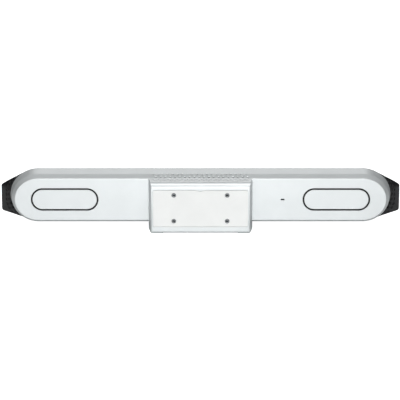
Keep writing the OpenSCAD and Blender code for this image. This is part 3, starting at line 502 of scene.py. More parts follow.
def slab(outline: Sequence[Point], start: float, end: float, edge: float = 0.0, steps: int = 3) -> BMesh:
    """Raise a prism from an outline in x and y.

    Args:
        outline: The prism's outline.
        start: Depth of its first face.
        end: Depth of its last face.
        edge: Rounding of the edges round both faces.
        steps: Steps of that rounding.

    Returns:
        The prism's mesh.
    """
    bm = bmesh.new()
    face = bm.faces.new([bm.verts.new((x, y, start)) for x, y in outline])
    made = bmesh.ops.extrude_face_region(bm, geom=[face])
    bmesh.ops.translate(bm, verts=verts_of(made), vec=(0, 0, end - start))
    bmesh.ops.recalc_face_normals(bm, faces=bm.faces)
    if edge > 0:
        rims = [e for e in bm.edges if abs(e.verts[0].co.z - e.verts[1].co.z) < LEVEL]
        soften(bm, rims, edge, steps)
    return bm


def soften(bm: BMesh, edges: Sequence[BMEdge], radius: float, steps: int = 3) -> None:
    """Round the given edges of a mesh."""
    bmesh.ops.bevel(
        bm,
        geom=list(edges),
        offset=radius,
        offset_type="OFFSET",
        segments=steps,
        profile=0.5,
        affect="EDGES",
        material=-1,
        clamp_overlap=True,
    )


def upright(bm: BMesh) -> BMesh:
    """Stand a prism up: what ran forward runs upwards, and what ran upwards runs forward."""
    swap = Matrix(((1, 0, 0, 0), (0, 0, 1, 0), (0, 1, 0, 0), (0, 0, 0, 1)))
    bmesh.ops.transform(bm, matrix=swap, verts=bm.verts)
    bmesh.ops.reverse_faces(bm, faces=bm.faces)
    return bm


def across(section: Sequence[Point], half_width: float) -> BMesh:
    """Draw a section given as height and depth across the bar, to each side of the middle."""
    bm = slab([(y, z) for y, z in section], -half_width, half_width)
    turn = Matrix(((0, 0, 1, 0), (1, 0, 0, 0), (0, 1, 0, 0), (0, 0, 0, 1)))
    bmesh.ops.transform(bm, matrix=turn, verts=bm.verts)
    return bm


def lathe(profile: Sequence[Point], x: float = 0.0, y: float = 0.0, steps: int = HOLE_SIDES) -> BMesh:
    """Spin a profile of radii and depths round a line that points forward.

    Args:
        profile: The profile's points; it is closed unless both its ends lie on the line.
        x: Place of the line along the bar.
        y: Height of the line.
        steps: Steps in a full turn.

    Returns:
        The round solid's mesh.
    """
    bm = bmesh.new()
    verts = [bm.verts.new((x + radius, y, z)) for radius, z in profile]
    open_ended = profile[0][0] == 0 and profile[-1][0] == 0
    pairs = zip(verts, verts[1:] if open_ended else verts[1:] + verts[:1])
    edges = [bm.edges.new(pair) for pair in pairs]
    bmesh.ops.spin(
        bm,
        geom=verts + edges,
        cent=(x, y, 0),
        axis=(0, 0, 1),
        angle=FULL_TURN,
        steps=steps,
        use_merge=True,
        use_duplicate=False,
    )
    bmesh.ops.remove_doubles(bm, verts=bm.verts, dist=WELD)
    bmesh.ops.recalc_face_normals(bm, faces=bm.faces)
    return bm


def peg(bm: BMesh, start: Vector, end: Vector, radius: float, sides: int, point: Vector | None = None) -> None:
    """Add a straight peg with flat ends.

    Args:
        bm: The mesh that gets the peg.
        start: Middle of its first end.
        end: Middle of its last end.
        radius: Its radius, to the corners.
        sides: Its number of sides.
        point: Direction of its first corner, square to the peg; any if left out.
    """
    along = (end - start).normalized()
    corner = point.normalized() if point else along.orthogonal().normalized()
    side = corner.cross(along)
    turn = Matrix((side, corner, along)).transposed().to_4x4()
    place = Matrix.Translation((start + end) / 2) @ turn
    bmesh.ops.create_cone(
        bm,
        cap_ends=True,
        segments=sides,
        radius1=radius,
        radius2=radius,
        depth=(end - start).length,
        matrix=place,
    )


def join(meshes: Iterable[BMesh]) -> BMesh:
    """Put several meshes into one and free them."""
    whole = bmesh.new()
    for bm in meshes:
        part = bpy.data.meshes.new("part")
        bm.to_mesh(part)
        bm.free()
        whole.from_mesh(part)
        bpy.data.meshes.remove(part)
    return whole


def mirrored(bm: BMesh) -> BMesh:
    """Return a copy on the other side of the bar's middle, faces outwards."""
    copy = bm.copy()
    bmesh.ops.scale(copy, verts=copy.verts, vec=(-1, 1, 1))
    bmesh.ops.reverse_faces(copy, faces=copy.faces)
    return copy


def shape_with(bm: BMesh, tool: BMesh, operation: str = "DIFFERENCE") -> BMesh:
    """Cut, join or trim a solid with another one, exactly.

    Args:
        bm: The solid to be shaped; it is freed.
        tool: The solid that shapes it; it is freed.
        operation: DIFFERENCE, UNION or INTERSECT.

    Returns:
        The shaped solid's mesh.
    """
    objects = []
    for source in (bm, tool):
        mesh = bpy.data.meshes.new("blank")
        source.to_mesh(mesh)
        source.free()
        objects.append(bpy.data.objects.new("blank", mesh))
        bpy.context.scene.collection.objects.link(objects[-1])
    cut = objects[0].modifiers.new("cut", "BOOLEAN")
    cut.operation = operation
    cut.solver = "EXACT"
    cut.object = objects[1]
    shaped = bmesh.new()
    shaped.from_object(objects[0], bpy.context.evaluated_depsgraph_get())
    for used in objects:
        mesh = used.data
        bpy.data.objects.remove(used)
        bpy.data.meshes.remove(mesh)
    return shaped


def curve_through(first: Vector, corner: Vector, last: Vector, steps: int) -> list[Vector]:
    """Return points on a smooth curve that rounds a corner but still touches it."""
    shares = [k / steps for k in range(steps + 1)]
    pull = corner * 2 - (first + last) / 2
    return [first * (1 - u) ** 2 + pull * 2 * u * (1 - u) + last * u**2 for u in shares]


@dataclass(frozen=True)
class Bar:
    """Places that the pieces share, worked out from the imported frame, in mm.

    Attributes:
        end_x: Centre of each round end.
        plate_y: Place of the rear plate along the upright frame's depth.
        axis_z: Height of the housing's axis above the floor.
        rim_r: Half height of the housing at its front rim.
        depth: Depth of the housing.
        face_z: Depth of the grille's face.
        tip_x: Half width over the grille's tips.
        stretch: How much longer than half its height a round end is.
    """

    end_x: float
    plate_y: float
    axis_z: float
    rim_r: float
    depth: float
    face_z: float
    tip_x: float
    stretch: float = 1.1

    @classmethod
    def from_frame(cls) -> Bar:
        """Read the shared places from the housing's and the grille's boxes."""
        low, high = (Vector(corner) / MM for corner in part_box("rear_housing"))
        grille_low, grille_high = (Vector(corner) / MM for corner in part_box("grille_right"))
        rim_r = (high.z - low.z) / 2
        return cls(
            end_x=high.x - rim_r * cls.stretch,
            plate_y=high.y,
            axis_z=(high.z + low.z) / 2,
            rim_r=rim_r,
            depth=high.y - low.y,
            face_z=high.y - grille_low.y,
            tip_x=grille_high.x,
        )

    @property
    def stand(self) -> Matrix:
        """Return the turn and scale from the bar's own frame to the upright one in metres."""
        rows = ((1, 0, 0, 0), (0, 0, -1, self.plate_y), (0, 1, 0, self.axis_z), (0, 0, 0, 1 / MM))
        upright = Matrix(rows) * MM
        upright[3][3] = 1.0
        return upright

    def box(self, node: str) -> tuple[Vector, Vector]:
        """Return a node's lowest and highest corners in the bar's own frame."""
        low, high = (Vector(corner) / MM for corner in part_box(node))
        lowest = Vector((low.x, low.z - self.axis_z, self.plate_y - high.y))
        highest = Vector((high.x, high.z - self.axis_z, self.plate_y - low.y))
        return lowest, highest

    def publish(
        self,
        bm: BMesh,
        name: str,
        finish: Finish,
        nodes: Sequence[str],
        slot: str,
        body: str = "bar",
        sharp: float = 32.0,
    ) -> bpy.types.Object:
        """Make a finished mesh a piece of the model.

        Args:
            bm: The mesh in the bar's own frame; it is freed.
            name: The piece's name.
            finish: What it is made of.
            nodes: The nodes that it stands for.
            slot: The record's slot for its finish; not used.
            body: The body that it rides on.
            sharp: Angle in degrees past which an edge stays sharp.

        Returns:
            The piece's object.
        """
        bmesh.ops.transform(bm, matrix=self.stand, verts=bm.verts)
        mesh = bpy.data.meshes.new(name)
        bm.to_mesh(mesh)
        bm.free()
        mesh.shade_smooth()
        mesh.set_sharp_from_angle(angle=math.radians(sharp))
        mesh.materials.append(finish.material())
        piece = bpy.data.objects.new(name, mesh)
        bpy.context.scene.collection.objects.link(piece)
        shading = piece.modifiers.new("weighted_normals", "WEIGHTED_NORMAL")
        shading.keep_sharp = True
        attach(piece, body)
        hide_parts(*nodes)
        LOG.info("piece %s: %d faces, stands for %s", name, len(mesh.polygons), ", ".join(nodes))
        return piece


@dataclass(frozen=True)
class Vents:
    """Rows of six-sided holes in the top, staggered by half a pitch."""

    diameter: float = 5.4
    pitch: float = 9.1
    columns: int = 20

    def cutter(self, rows: Sequence[float], low: float, high: float) -> BMesh:
        """Return upright pegs for the given rows, from height low to high."""
        bm = bmesh.new()
        for k, z in enumerate(rows):
            for i in range(self.columns):
                x = (i - (self.columns - 1) / 2 + (k % 2 - 0.5) / 2) * self.pitch
                corner = Vector((1, 0, 0))
                peg(bm, Vector((x, low, z)), Vector((x, high, z)), self.diameter / 2, 6, corner)
        return bm


@dataclass(frozen=True)
class RearHousing:
    """Silver-white stadium-shaped shell with its ports, lock slot, vents and bosses."""

    bar: Bar
    vents: Vents
    plate_r: float = 40.5
    crease_r: float = 46.2
    crease_z: float = 14.0
    edge_r: float = 1.8
    crease_round: float = 5.0
    rim_edge: float = 0.5
    wall: float = 2.6
    hole_edge: float = 0.2
    port_x: float = 256.5
    port_size: Point = (127.0, 43.2)
    port_ease: float = 0.3
    lock_x: float = -155.0
    lock_size: Point = (7.0, 3.0)
    lock_round: float = 0.6
    vent_rows: tuple[float, ...] = (5.0, 13.0)
    boss_r: float = 4.0
    bosses: tuple[Point, ...] = ((340.0, 0.0), (183.0, 33.0), (183.0, -33.0), (100.0, 33.0), (100.0, -33.0))
    boss_top: float = 40.0
    board_post: Point = (80.0, 27.0)
    board_z: float = 24.0
    passage: Point = (24.0, 5.0)
    passage_y: float = 29.5
    passage_round: float = 1.0

    def outside(self) -> list[Point]:
        """Return the outer wall's radii and depths, from the plate to the rim."""
        corners = [
            (0.0, 0.0, 0.0),
            (self.plate_r, 0.0, self.edge_r),
            (self.crease_r, self.crease_z, self.crease_round),
            (self.bar.rim_r, self.bar.depth, self.rim_edge),
            (0.0, self.bar.depth, 0.0),
        ]
        return rounded(corners)[1:-1]

    def inside(self) -> list[Point]:
        """Return the inner wall's radii and depths, from the rim to the plate."""
        rear_slope = (self.crease_r - self.plate_r) / self.crease_z
        corners = [
            (0.0, self.wall, 0.0),
            (self.plate_r - self.wall + rear_slope * self.wall, self.wall, self.edge_r),
            (self.crease_r - self.wall, self.crease_z, self.crease_round),
            (self.bar.rim_r - self.wall, self.bar.depth, self.rim_edge),
            (self.bar.rim_r, self.bar.depth, 0.0),
        ]
        return rounded(corners)[1:-1][::-1]

    def shell(self) -> BMesh:
        """Return the closed shell, lofted out over the plate and back inside."""
        return oval_solid(self.outside() + self.inside(), Oval(self.bar.end_x, stretch=self.bar.stretch))

    def openings(self) -> BMesh:
        """Return the solids that cut the ports, the lock slot and the vents."""
        length, height = self.port_size
        flare = self.hole_edge + OVERRUN
        radius = height / 2 + self.port_ease
        port = [(radius, self.wall + OVERRUN), (radius, self.hole_edge), (radius + flare, -OVERRUN)]
        run = (length - height) / 2
        lock = box_outline(self.lock_size[0], self.lock_size[1], self.lock_round, self.lock_x)
        return join(
            [
                oval_solid(port, Oval(run, self.port_x)),
                oval_solid(port, Oval(run, -self.port_x)),
                slab(lock, -OVERRUN, self.wall + OVERRUN),
                self.vents.cutter(self.vent_rows, self.plate_r - 3 * self.wall, self.bar.rim_r),
                self.passage_cutter(-OVERRUN, self.wall + OVERRUN),
            ]
        )

    def passage_cutter(self, start: float, end: float) -> BMesh:
        """Return the solid that cuts the passage for the flat cables."""
        width, height = self.passage
        return slab(box_outline(width, height, self.passage_round, 0.0, self.passage_y), start, end)

    def posts(self) -> BMesh:
        """Return the bosses that carry the baffle and the main board."""
        bm = bmesh.new()
        root = self.wall - self.edge_r / 2
        for side in (-1, 1):
            for x, y in self.bosses:
                start = Vector((side * x, y, root))
                peg(bm, start, Vector((side * x, y, self.boss_top)), self.boss_r, POST_SIDES)
            for level in (-1, 1):
                place = (side * self.board_post[0], level * self.board_post[1])
                peg(bm, Vector((*place, root)), Vector((*place, self.board_z)), self.boss_r, POST_SIDES)
        return bm

    def build(self) -> None:
        """Cut the shell and publish it with its bosses."""
        shell = shape_with(self.shell(), self.openings())
        whole = shape_with(shell, self.posts(), "UNION")
        self.bar.publish(whole, "rear_shell", SILVER_PAINT, ["rear_housing"], "silver_paint")


@dataclass(frozen=True)
class OvalPorts:
    """Bass port covers in their open rings, and the black trays behind them."""

    bar: Bar
    housing: RearHousing
    gap: float = 3.0
    tray_wall: float = 2.0
    tray_floor: float = 12.0
    duct: Point = (60.0, 7.0)
    edge: float = 0.3
    post_place: Point = (42.0, 9.0)
    post_r: float = 3.5
    post_sink: float = 0.5
    duct_round: float = 2.0

    def cover(self) -> BMesh:
        """Return the cover plate, its outer edge rounded."""
        length, height = self.housing.port_size
        radius = height / 2 - self.gap
        wall = self.housing.wall
        profile = [
            (radius - self.edge, 0.0),
            (radius - 0.3 * self.edge, 0.3 * self.edge),
            (radius, self.edge),
            (radius, wall),
        ]
        return oval_solid(profile, Oval((length - height) / 2, self.housing.port_x))

    def tray(self) -> BMesh:
        """Return the open tray with its duct and the posts that hold the cover."""
        length, height = self.housing.port_size
        run = (length - height) / 2
        wall = self.housing.wall
        inner = height / 2
        outer = inner + self.tray_wall
        back = self.tray_floor + self.tray_wall
        profile = [(inner, self.tray_floor), (inner, wall), (outer, wall), (outer, back)]
        tray = oval_solid(profile, Oval(run, self.housing.port_x))
        posts = bmesh.new()
        for side in (-1, 1):
            for level in (-1, 1):
                x = self.housing.port_x + side * self.post_place[0]
                y = level * self.post_place[1]
                peg(posts, Vector((x, y, wall)), Vector((x, y, back - self.post_sink)), self.post_r, POST_SIDES)
        tray = shape_with(tray, posts, "UNION")
        duct = box_outline(self.duct[0], self.duct[1], self.duct_round, self.housing.port_x)
        return shape_with(tray, slab(duct, self.tray_floor - OVERRUN, back + OVERRUN))

    def build(self) -> None:
        """Publish both covers and both trays."""
        cover = self.cover()
        tray = self.tray()
        self.bar.publish(mirrored(cover), "port_plate_left", SILVER_PAINT, ["port_cover_left"], "silver_paint")
        self.bar.publish(cover, "port_plate_right", SILVER_PAINT, ["port_cover_right"], "silver_paint")
        self.bar.publish(mirrored(tray), "port_tray_left", BLACK_ABS, ["port_liner_left"], "black_plastic")
        self.bar.publish(tray, "port_tray_right", BLACK_ABS, ["port_liner_right"], "black_plastic")


def insert_places(bar: Bar, radius: float = 4.2) -> list[Point]:
    """Return the four centres of the mounting inserts, which have the given radius."""
    low, high = bar.box("mount_inserts")
    return [(x, y) for x in (low.x + radius, high.x - radius) for y in (low.y + radius, high.y - radius)]


@dataclass(frozen=True)
class ConnectorBlock:
    """Block behind the plate that holds the sockets and stands under the housing."""

    bar: Bar
    housing: RearHousing
    vents: Vents
    rear_half_w: float = 93.0
    top_round: float = 10.0
    bottom_round: float = 5.0
    side_round: float = 3.6
    front_round: float = 1.0
    seam_round: float = 0.6
    bay_round: float = 2.0
    exit_round: float = 3.0
    fit: float = 0.3
    skin: float = 4.5
    rear_wall: float = 3.0
    ledge_t: float = 2.6
    ledge_w: float = 2.2
    cover_t: float = 2.4
    cover_round: float = 3.5
    cover_gap: float = 0.3
    upper_gap: float = 0.6
    notch: Point = (6.0, 2.2)
    bay_half_w: float = 88.0
    bay_floor: float = 3.5
    exit_half_w: float = 58.0
    exit_z: Point = (-26.0, -8.0)
    vent_rows: tuple[float, ...] = (-16.0, -8.0)
    post_r: float = 6.0
    post_sink: float = 0.5
    insert_r: float = 4.25
    insert_l: float = 13.0

    def side_r(self, z: float) -> float:
        """Return the housing's half height at a depth."""
        housing = self.housing
        if z < housing.crease_z:
            return housing.plate_r + (housing.crease_r - housing.plate_r) * z / housing.crease_z
        share = (z - housing.crease_z) / (self.bar.depth - housing.crease_z)
        return housing.crease_r + (self.bar.rim_r - housing.crease_r) * share

    def body(self) -> BMesh:
        """Return the tapered block with softened rear edges."""
        low, high = self.bar.box("connector_housing")
        crease = self.housing.crease_z
        section = rounded(
            [
                (high.y, 0.0, 0.0),
                (high.y, low.z, self.top_round),
                (low.y, low.z, self.bottom_round),
                (low.y, high.z, self.front_round),
                (-self.side_r(high.z) - self.fit, high.z, self.seam_round),
                (-self.side_r(crease) - self.fit, crease, 0.0),
                (-self.housing.plate_r - self.fit, 0.0, 0.0),
            ]
        )
        side_view = across(section, high.x + OVERRUN)
        bmesh.ops.recalc_face_normals(side_view, faces=side_view.faces)
        corners = [
            (high.x, high.z + OVERRUN, 0.0),
            (-high.x, high.z + OVERRUN, 0.0),
            (-high.x, 0.0, 0.0),
            (-self.rear_half_w, low.z, self.side_round),
            (self.rear_half_w, low.z, self.side_round),
            (high.x, 0.0, 0.0),
        ]
        plan = upright(slab(rounded(corners), low.y - OVERRUN, high.y + OVERRUN))
        return shape_with(side_view, plan, "INTERSECT")

    def hollows(self) -> list[BMesh]:
        """Return the solids that cut the cover's seat, the bay, the exit and the vents."""
        low, high = self.bar.box("connector_housing")
        cover_low, cover_high = self.bar.box("cable_cover")
        size = cover_high - cover_low
        y = (cover_low.y + cover_high.y) / 2
        gap = self.cover_gap
        seat_y = y + (self.upper_gap - gap) / 2
        seat = notched_box(size.x + 2 * gap, size.y + gap + self.upper_gap, self.cover_round, seat_y, self.notch)
        mouth = box_outline(size.x - 2 * self.ledge_w, size.y - 2 * self.ledge_w, self.cover_round, 0.0, y)
        bay_top = high.y - self.skin
        bay_low = low.y + self.bay_floor
        bay_y = (bay_top + bay_low) / 2
        bay = box_outline(2 * self.bay_half_w, bay_top - bay_low, self.bay_round, 0.0, bay_y)
        back = low.z + self.cover_t
        exit_d = self.exit_z[1] - self.exit_z[0]
        exit_middle = sum(self.exit_z) / 2
        way_out = box_outline(2 * self.exit_half_w, exit_d, self.exit_round, 0.0, exit_middle)
        exit_cut = upright(slab(way_out, low.y - OVERRUN, bay_low + OVERRUN))
        return [
            slab(seat, low.z - OVERRUN, back),
            slab(mouth, back - OVERRUN, back + self.ledge_t + OVERRUN),
            slab(bay, back + self.ledge_t, -self.rear_wall),
            exit_cut,
            self.vents.cutter(self.vent_rows, high.y - self.skin - OVERRUN, high.y + OVERRUN),
            self.housing.passage_cutter(-self.rear_wall - OVERRUN, OVERRUN),
        ]

    def build(self) -> None:
        """Cut the block and publish it with the posts for the inserts."""
        block = self.body()
        for hollow in self.hollows():
            block = shape_with(block, hollow)
        low, _ = self.bar.box("connector_housing")
        posts, bores = bmesh.new(), bmesh.new()
        for x, y in insert_places(self.bar):
            start = Vector((x, y, low.z + self.cover_t))
            peg(posts, start, Vector((x, y, -self.rear_wall + self.post_sink)), self.post_r, BORE_SIDES)
            start = Vector((x, y, low.z - OVERRUN))
            peg(bores, start, Vector((x, y, low.z + self.insert_l)), self.insert_r, BORE_SIDES)
        whole = shape_with(shape_with(block, posts, "UNION"), bores)
        self.bar.publish(whole, "connector_block", SILVER_PAINT, ["connector_housing"], "silver_paint")


@dataclass(frozen=True)
class CoverPanel:
    """White cable cover with its finger notch, and the four thread inserts in it."""

    bar: Bar
    corner: float = 3.5
    edge: float = 0.5
    notch: Point = (6.3, 2.2)
    insert_gap: float = 0.3
    insert_r: float = 4.2
    insert_bore: float = 4.0
    thread_pitch: float = 0.7
    thread_depth: float = 0.4
    insert_edge: float = 0.45

    def panel(self) -> BMesh:
        """Return the cover, cut for the inserts."""
        low, high = self.bar.box("cable_cover")
        y = (low.y + high.y) / 2
        outline = notched_box(high.x - low.x, high.y - low.y, self.corner, y, self.notch)
        plate = slab(outline, low.z, high.z, self.edge, 4)
        radius = self.insert_r + self.insert_gap
        flare = self.edge / 2 + OVERRUN
        hole = [
            (0.0, low.z - OVERRUN),
            (radius + flare, low.z - OVERRUN),
            (radius, low.z + self.edge / 2),
            (radius, high.z + OVERRUN),
            (0.0, high.z + OVERRUN),
        ]
        return shape_with(plate, join(lathe(hole, *place) for place in insert_places(self.bar)))

    def inserts(self) -> BMesh:
        """Return the four inserts, their threads drawn as grooves."""
        low, high = self.bar.box("mount_inserts")
        bore = self.insert_bore / 2
        outer = self.insert_r
        edge = self.insert_edge
        profile = [(outer, high.z - edge), (outer, low.z + edge), (outer - edge, low.z), (bore + 2 * edge, low.z)]
        turns = int((high.z - low.z - 3 * edge) / self.thread_pitch)
        for k in range(turns):
            start = low.z + 2 * edge + k * self.thread_pitch
            profile += [(bore, start), (bore + self.thread_depth, start + self.thread_pitch / 2)]
        profile += [(bore, high.z), (outer - edge, high.z)]
        return join([lathe(profile, *place, steps=40) for place in insert_places(self.bar)])

    def build(self) -> None:
        """Publish the panel and the inserts."""
        self.bar.publish(self.panel(), "cover_panel", WHITE_ABS, ["cable_cover"], "white_plastic")
        self.bar.publish(self.inserts(), "thread_inserts", INSERT_STEEL, ["mount_inserts"], "insert_steel")


@dataclass(frozen=True)
class FootPads:
    """Two long rubber feet under the block, with a rounded lower edge and fine ribs."""

    bar: Bar
    corner: float = 3.5
    edge: float = 0.5
    width: float = 23.0
    rib_pitch: float = 3.0
    rib_depth: float = 0.3

    def pad(self) -> BMesh:
        """Return the pad on the right-hand side."""
        low, high = self.bar.box("rubber_feet")
        width = self.width
        outline = box_outline(width, high.z - low.z, self.corner, high.x - width / 2, (low.z + high.z) / 2)
        bm = slab(outline, low.y, high.y, self.edge)
        grooves = bmesh.new()
        count = int((high.z - low.z - 4 * self.corner) / self.rib_pitch)
        middle = (low.z + high.z) / 2
        for k in range(count):
            z = middle + (k - (count - 1) / 2) * self.rib_pitch
            start = Vector((high.x - width + self.corner, z, low.y))
            end = Vector((high.x - self.corner, z, low.y))
            peg(grooves, start, end, self.rib_depth, 8)
        return upright(shape_with(bm, grooves))

    def build(self) -> None:
        """Publish both pads as one piece."""
        pad = self.pad()
        both = join([mirrored(pad), pad])
        self.bar.publish(both, "foot_pads", GREY_RUBBER, ["rubber_feet"], "grey_rubber")


@dataclass(frozen=True)
class FrontForm:
    """Swelling form of the front: round at the rim, widest at the lip, drawn in at the face.

    Attributes:
        bar: The shared places.
        start_x: Where the right-hand half starts.
        lip_d: Depth from the rim to the lip.
        top: Height of the straight upper edge.
        top_run: How far the upper edge runs past the round end's centre.
        bottom_run: How far the lower edge does.
        tip_top: Height of the tip's upper corner.
        tip_drop: Drop of its lower corner.
        lip_round: Rounding of the outline's corners.
        face_inset: How far the face is drawn in from the lip.
        edge: Rounding of the lip and of the face's edge.
        band: Depth from the rim to the crease where the smooth band at the lip starts.
        band_rise: How far that crease stands out.
        past_lip: Where the rounding of the lip ends, as a share of edge.
        before_face: Where the rounding of the face's edge starts, the same.
        past_face: Where it ends, the same.
        edge_steps: Steps in either rounding.
        merge_angle: Faces that meet at less than this are one, in degrees.
    """

    bar: Bar
    start_x: float = 60.3
    lip_d: float = 22.0
    top: float = 44.0
    top_run: float = 5.0
    bottom_run: float = 34.5
    tip_top: float = 14.3
    tip_drop: float = 37.0
    lip_round: float = 6.0
    face_inset: float = 8.0
    edge: float = 1.2
    band: float = 17.2
    band_rise: float = 0.6
    past_lip: float = 0.8
    before_face: float = 0.7
    past_face: float = 1.1
    edge_steps: int = 4
    merge_angle: float = 0.3

    @property
    def lip_z(self) -> float:
        """Return the depth of the widest outline."""
        return self.bar.depth + self.lip_d

    def sides(self) -> list[Point]:
        """Return the lip outline's straight sides as outward angle and distance."""
        bar = self.bar
        corners = [
            Vector((bar.end_x + self.top_run, self.top)),
            Vector((bar.tip_x, self.tip_top)),
            Vector((bar.tip_x, -self.tip_drop)),
            Vector((bar.end_x + self.bottom_run, -bar.rim_r)),
        ]
        sides = [(math.pi / 2, self.top)]
        for first, last in zip(corners, corners[1:]):
            run = last - first
            angle = math.atan2(run.x, -run.y)
            sides.append((angle, first.x * math.cos(angle) + first.y * math.sin(angle)))
        sides.append((-math.pi / 2, bar.rim_r))
        return sides

    def stations(self, inset: float, steps: int = 14) -> list[tuple[Vector, Vector]]:
        """Pair the points of the rim's outline with those of the lip's.

        Args:
            inset: How far the lip's outline is drawn in; the rim's is as it stands.
            steps: Steps in each rounded corner.

        Returns:
            Pairs of flat points on the round rim and on the lip, from the upper edge's start
            round the tip to the lower edge's start.
        """
        radius = self.bar.rim_r
        sides = self.sides()
        pairs = []
        for (angle, reach), (next_angle, next_reach) in zip(sides, sides[1:]):
            drawn = inset + self.lip_round
            centre = crossing(angle, reach - drawn, next_angle, next_reach - drawn)
            for k in range(steps + 1):
                phi = angle + (next_angle - angle) * k / steps
                out = Vector((math.cos(phi), math.sin(phi)))
                on_rim = Vector((self.bar.end_x + out.x * radius * self.bar.stretch, out.y * radius))
                pairs.append((on_rim, centre + out * self.lip_round))
        top, bottom = pairs[0], pairs[-1]
        first = (Vector((self.start_x, top[0].y)), Vector((self.start_x, top[1].y)))
        last = (Vector((self.start_x, bottom[0].y)), Vector((self.start_x, bottom[1].y)))
        return [first, *pairs, last]

    def solid(self, inset: float, back: float = 0.0) -> BMesh:
        """Return the right-hand half of the form as a convex solid.

        Args:
            inset: How far the whole form is drawn in.
            back: How far it starts behind the rim.

        Returns:
            The solid's mesh.
        """
        bm = bmesh.new()
        depth, face = self.bar.depth, self.bar.face_z - inset
        lip = self.stations(inset)
        chamfer = self.face_inset / (face - self.lip_z)
        shrink = (self.bar.rim_r - inset) / self.bar.rim_r
        near = self.edge / self.lip_d
        rings = {
            "near": [lerp3(self._rim(a, shrink), b, 1 - near, depth, self.lip_z) for a, b in lip],
            "lip": [b.to_3d() + Vector((0, 0, self.lip_z)) for _, b in lip],
        }
        past = self.lip_z + self.past_lip * self.edge
        early = face - self.before_face * self.edge
        for name, z in (("past", past), ("early", early)):
            drawn = self.stations(inset + (z - self.lip_z) * chamfer)
            rings[name] = [b.to_3d() + Vector((0, 0, z)) for _, b in drawn]
        for name, extra in (("face", 0.0), ("flat", self.past_face * self.edge)):
            drawn = self.stations(inset + self.face_inset + extra)
            rings[name] = [b.to_3d() + Vector((0, 0, face)) for _, b in drawn]
        points = [self._rim(a, shrink).to_3d() + Vector((0, 0, depth - back)) for a, _ in lip]
        raised = self.stations(inset - self.band_rise)
        part = self.band / self.lip_d
        points += [lerp3(self._rim(a, shrink), b, part, depth, self.lip_z) for a, b in raised]
        for trio in (("near", "lip", "past"), ("early", "face", "flat")):
            for first, corner, last in zip(*(rings[name] for name in trio)):
                points += curve_through(first, corner, last, self.edge_steps)
        verts = [bm.verts.new(point) for point in points]
        made = bmesh.ops.convex_hull(bm, input=verts, use_existing_faces=False)
        bmesh.ops.delete(bm, geom=list({*made["geom_interior"], *made["geom_unused"]}), context="VERTS")
        bmesh.ops.recalc_face_normals(bm, faces=bm.faces)
        limit = math.radians(self.merge_angle)
        bmesh.ops.dissolve_limit(bm, angle_limit=limit, verts=bm.verts, edges=bm.edges)
        return bm

    def _rim(self, point: Vector, shrink: float) -> Vector:
        """Draw a point of the rim in towards the round end's centre."""
        centre = Vector((min(point.x, self.bar.end_x), 0))
        return centre + (point - centre) * shrink

    def inside_face(self, point: Vector, margin: float) -> bool:
        """Tell whether a flat point lies on the face with a margin to its edge."""
        reach = self.face_inset + margin
        sides = self.sides()
        return all(point.x * math.cos(a) + point.y * math.sin(a) <= d - reach for a, d in sides)


def crossing(angle: float, reach: float, next_angle: float, next_reach: float) -> Vector:
    """Return where two lines cross, each given by its outward angle and distance."""
    rows = Matrix(((math.cos(angle), math.sin(angle)), (math.cos(next_angle), math.sin(next_angle))))
    return rows.inverted() @ Vector((reach, next_reach))


def lerp3(a: Vector, b: Vector, share: float, start: float, end: float) -> Vector:
    """Return a point between two flat ones that lie at two depths."""
    flat = a.lerp(b, share)
    return Vector((flat.x, flat.y, start + (end - start) * share))


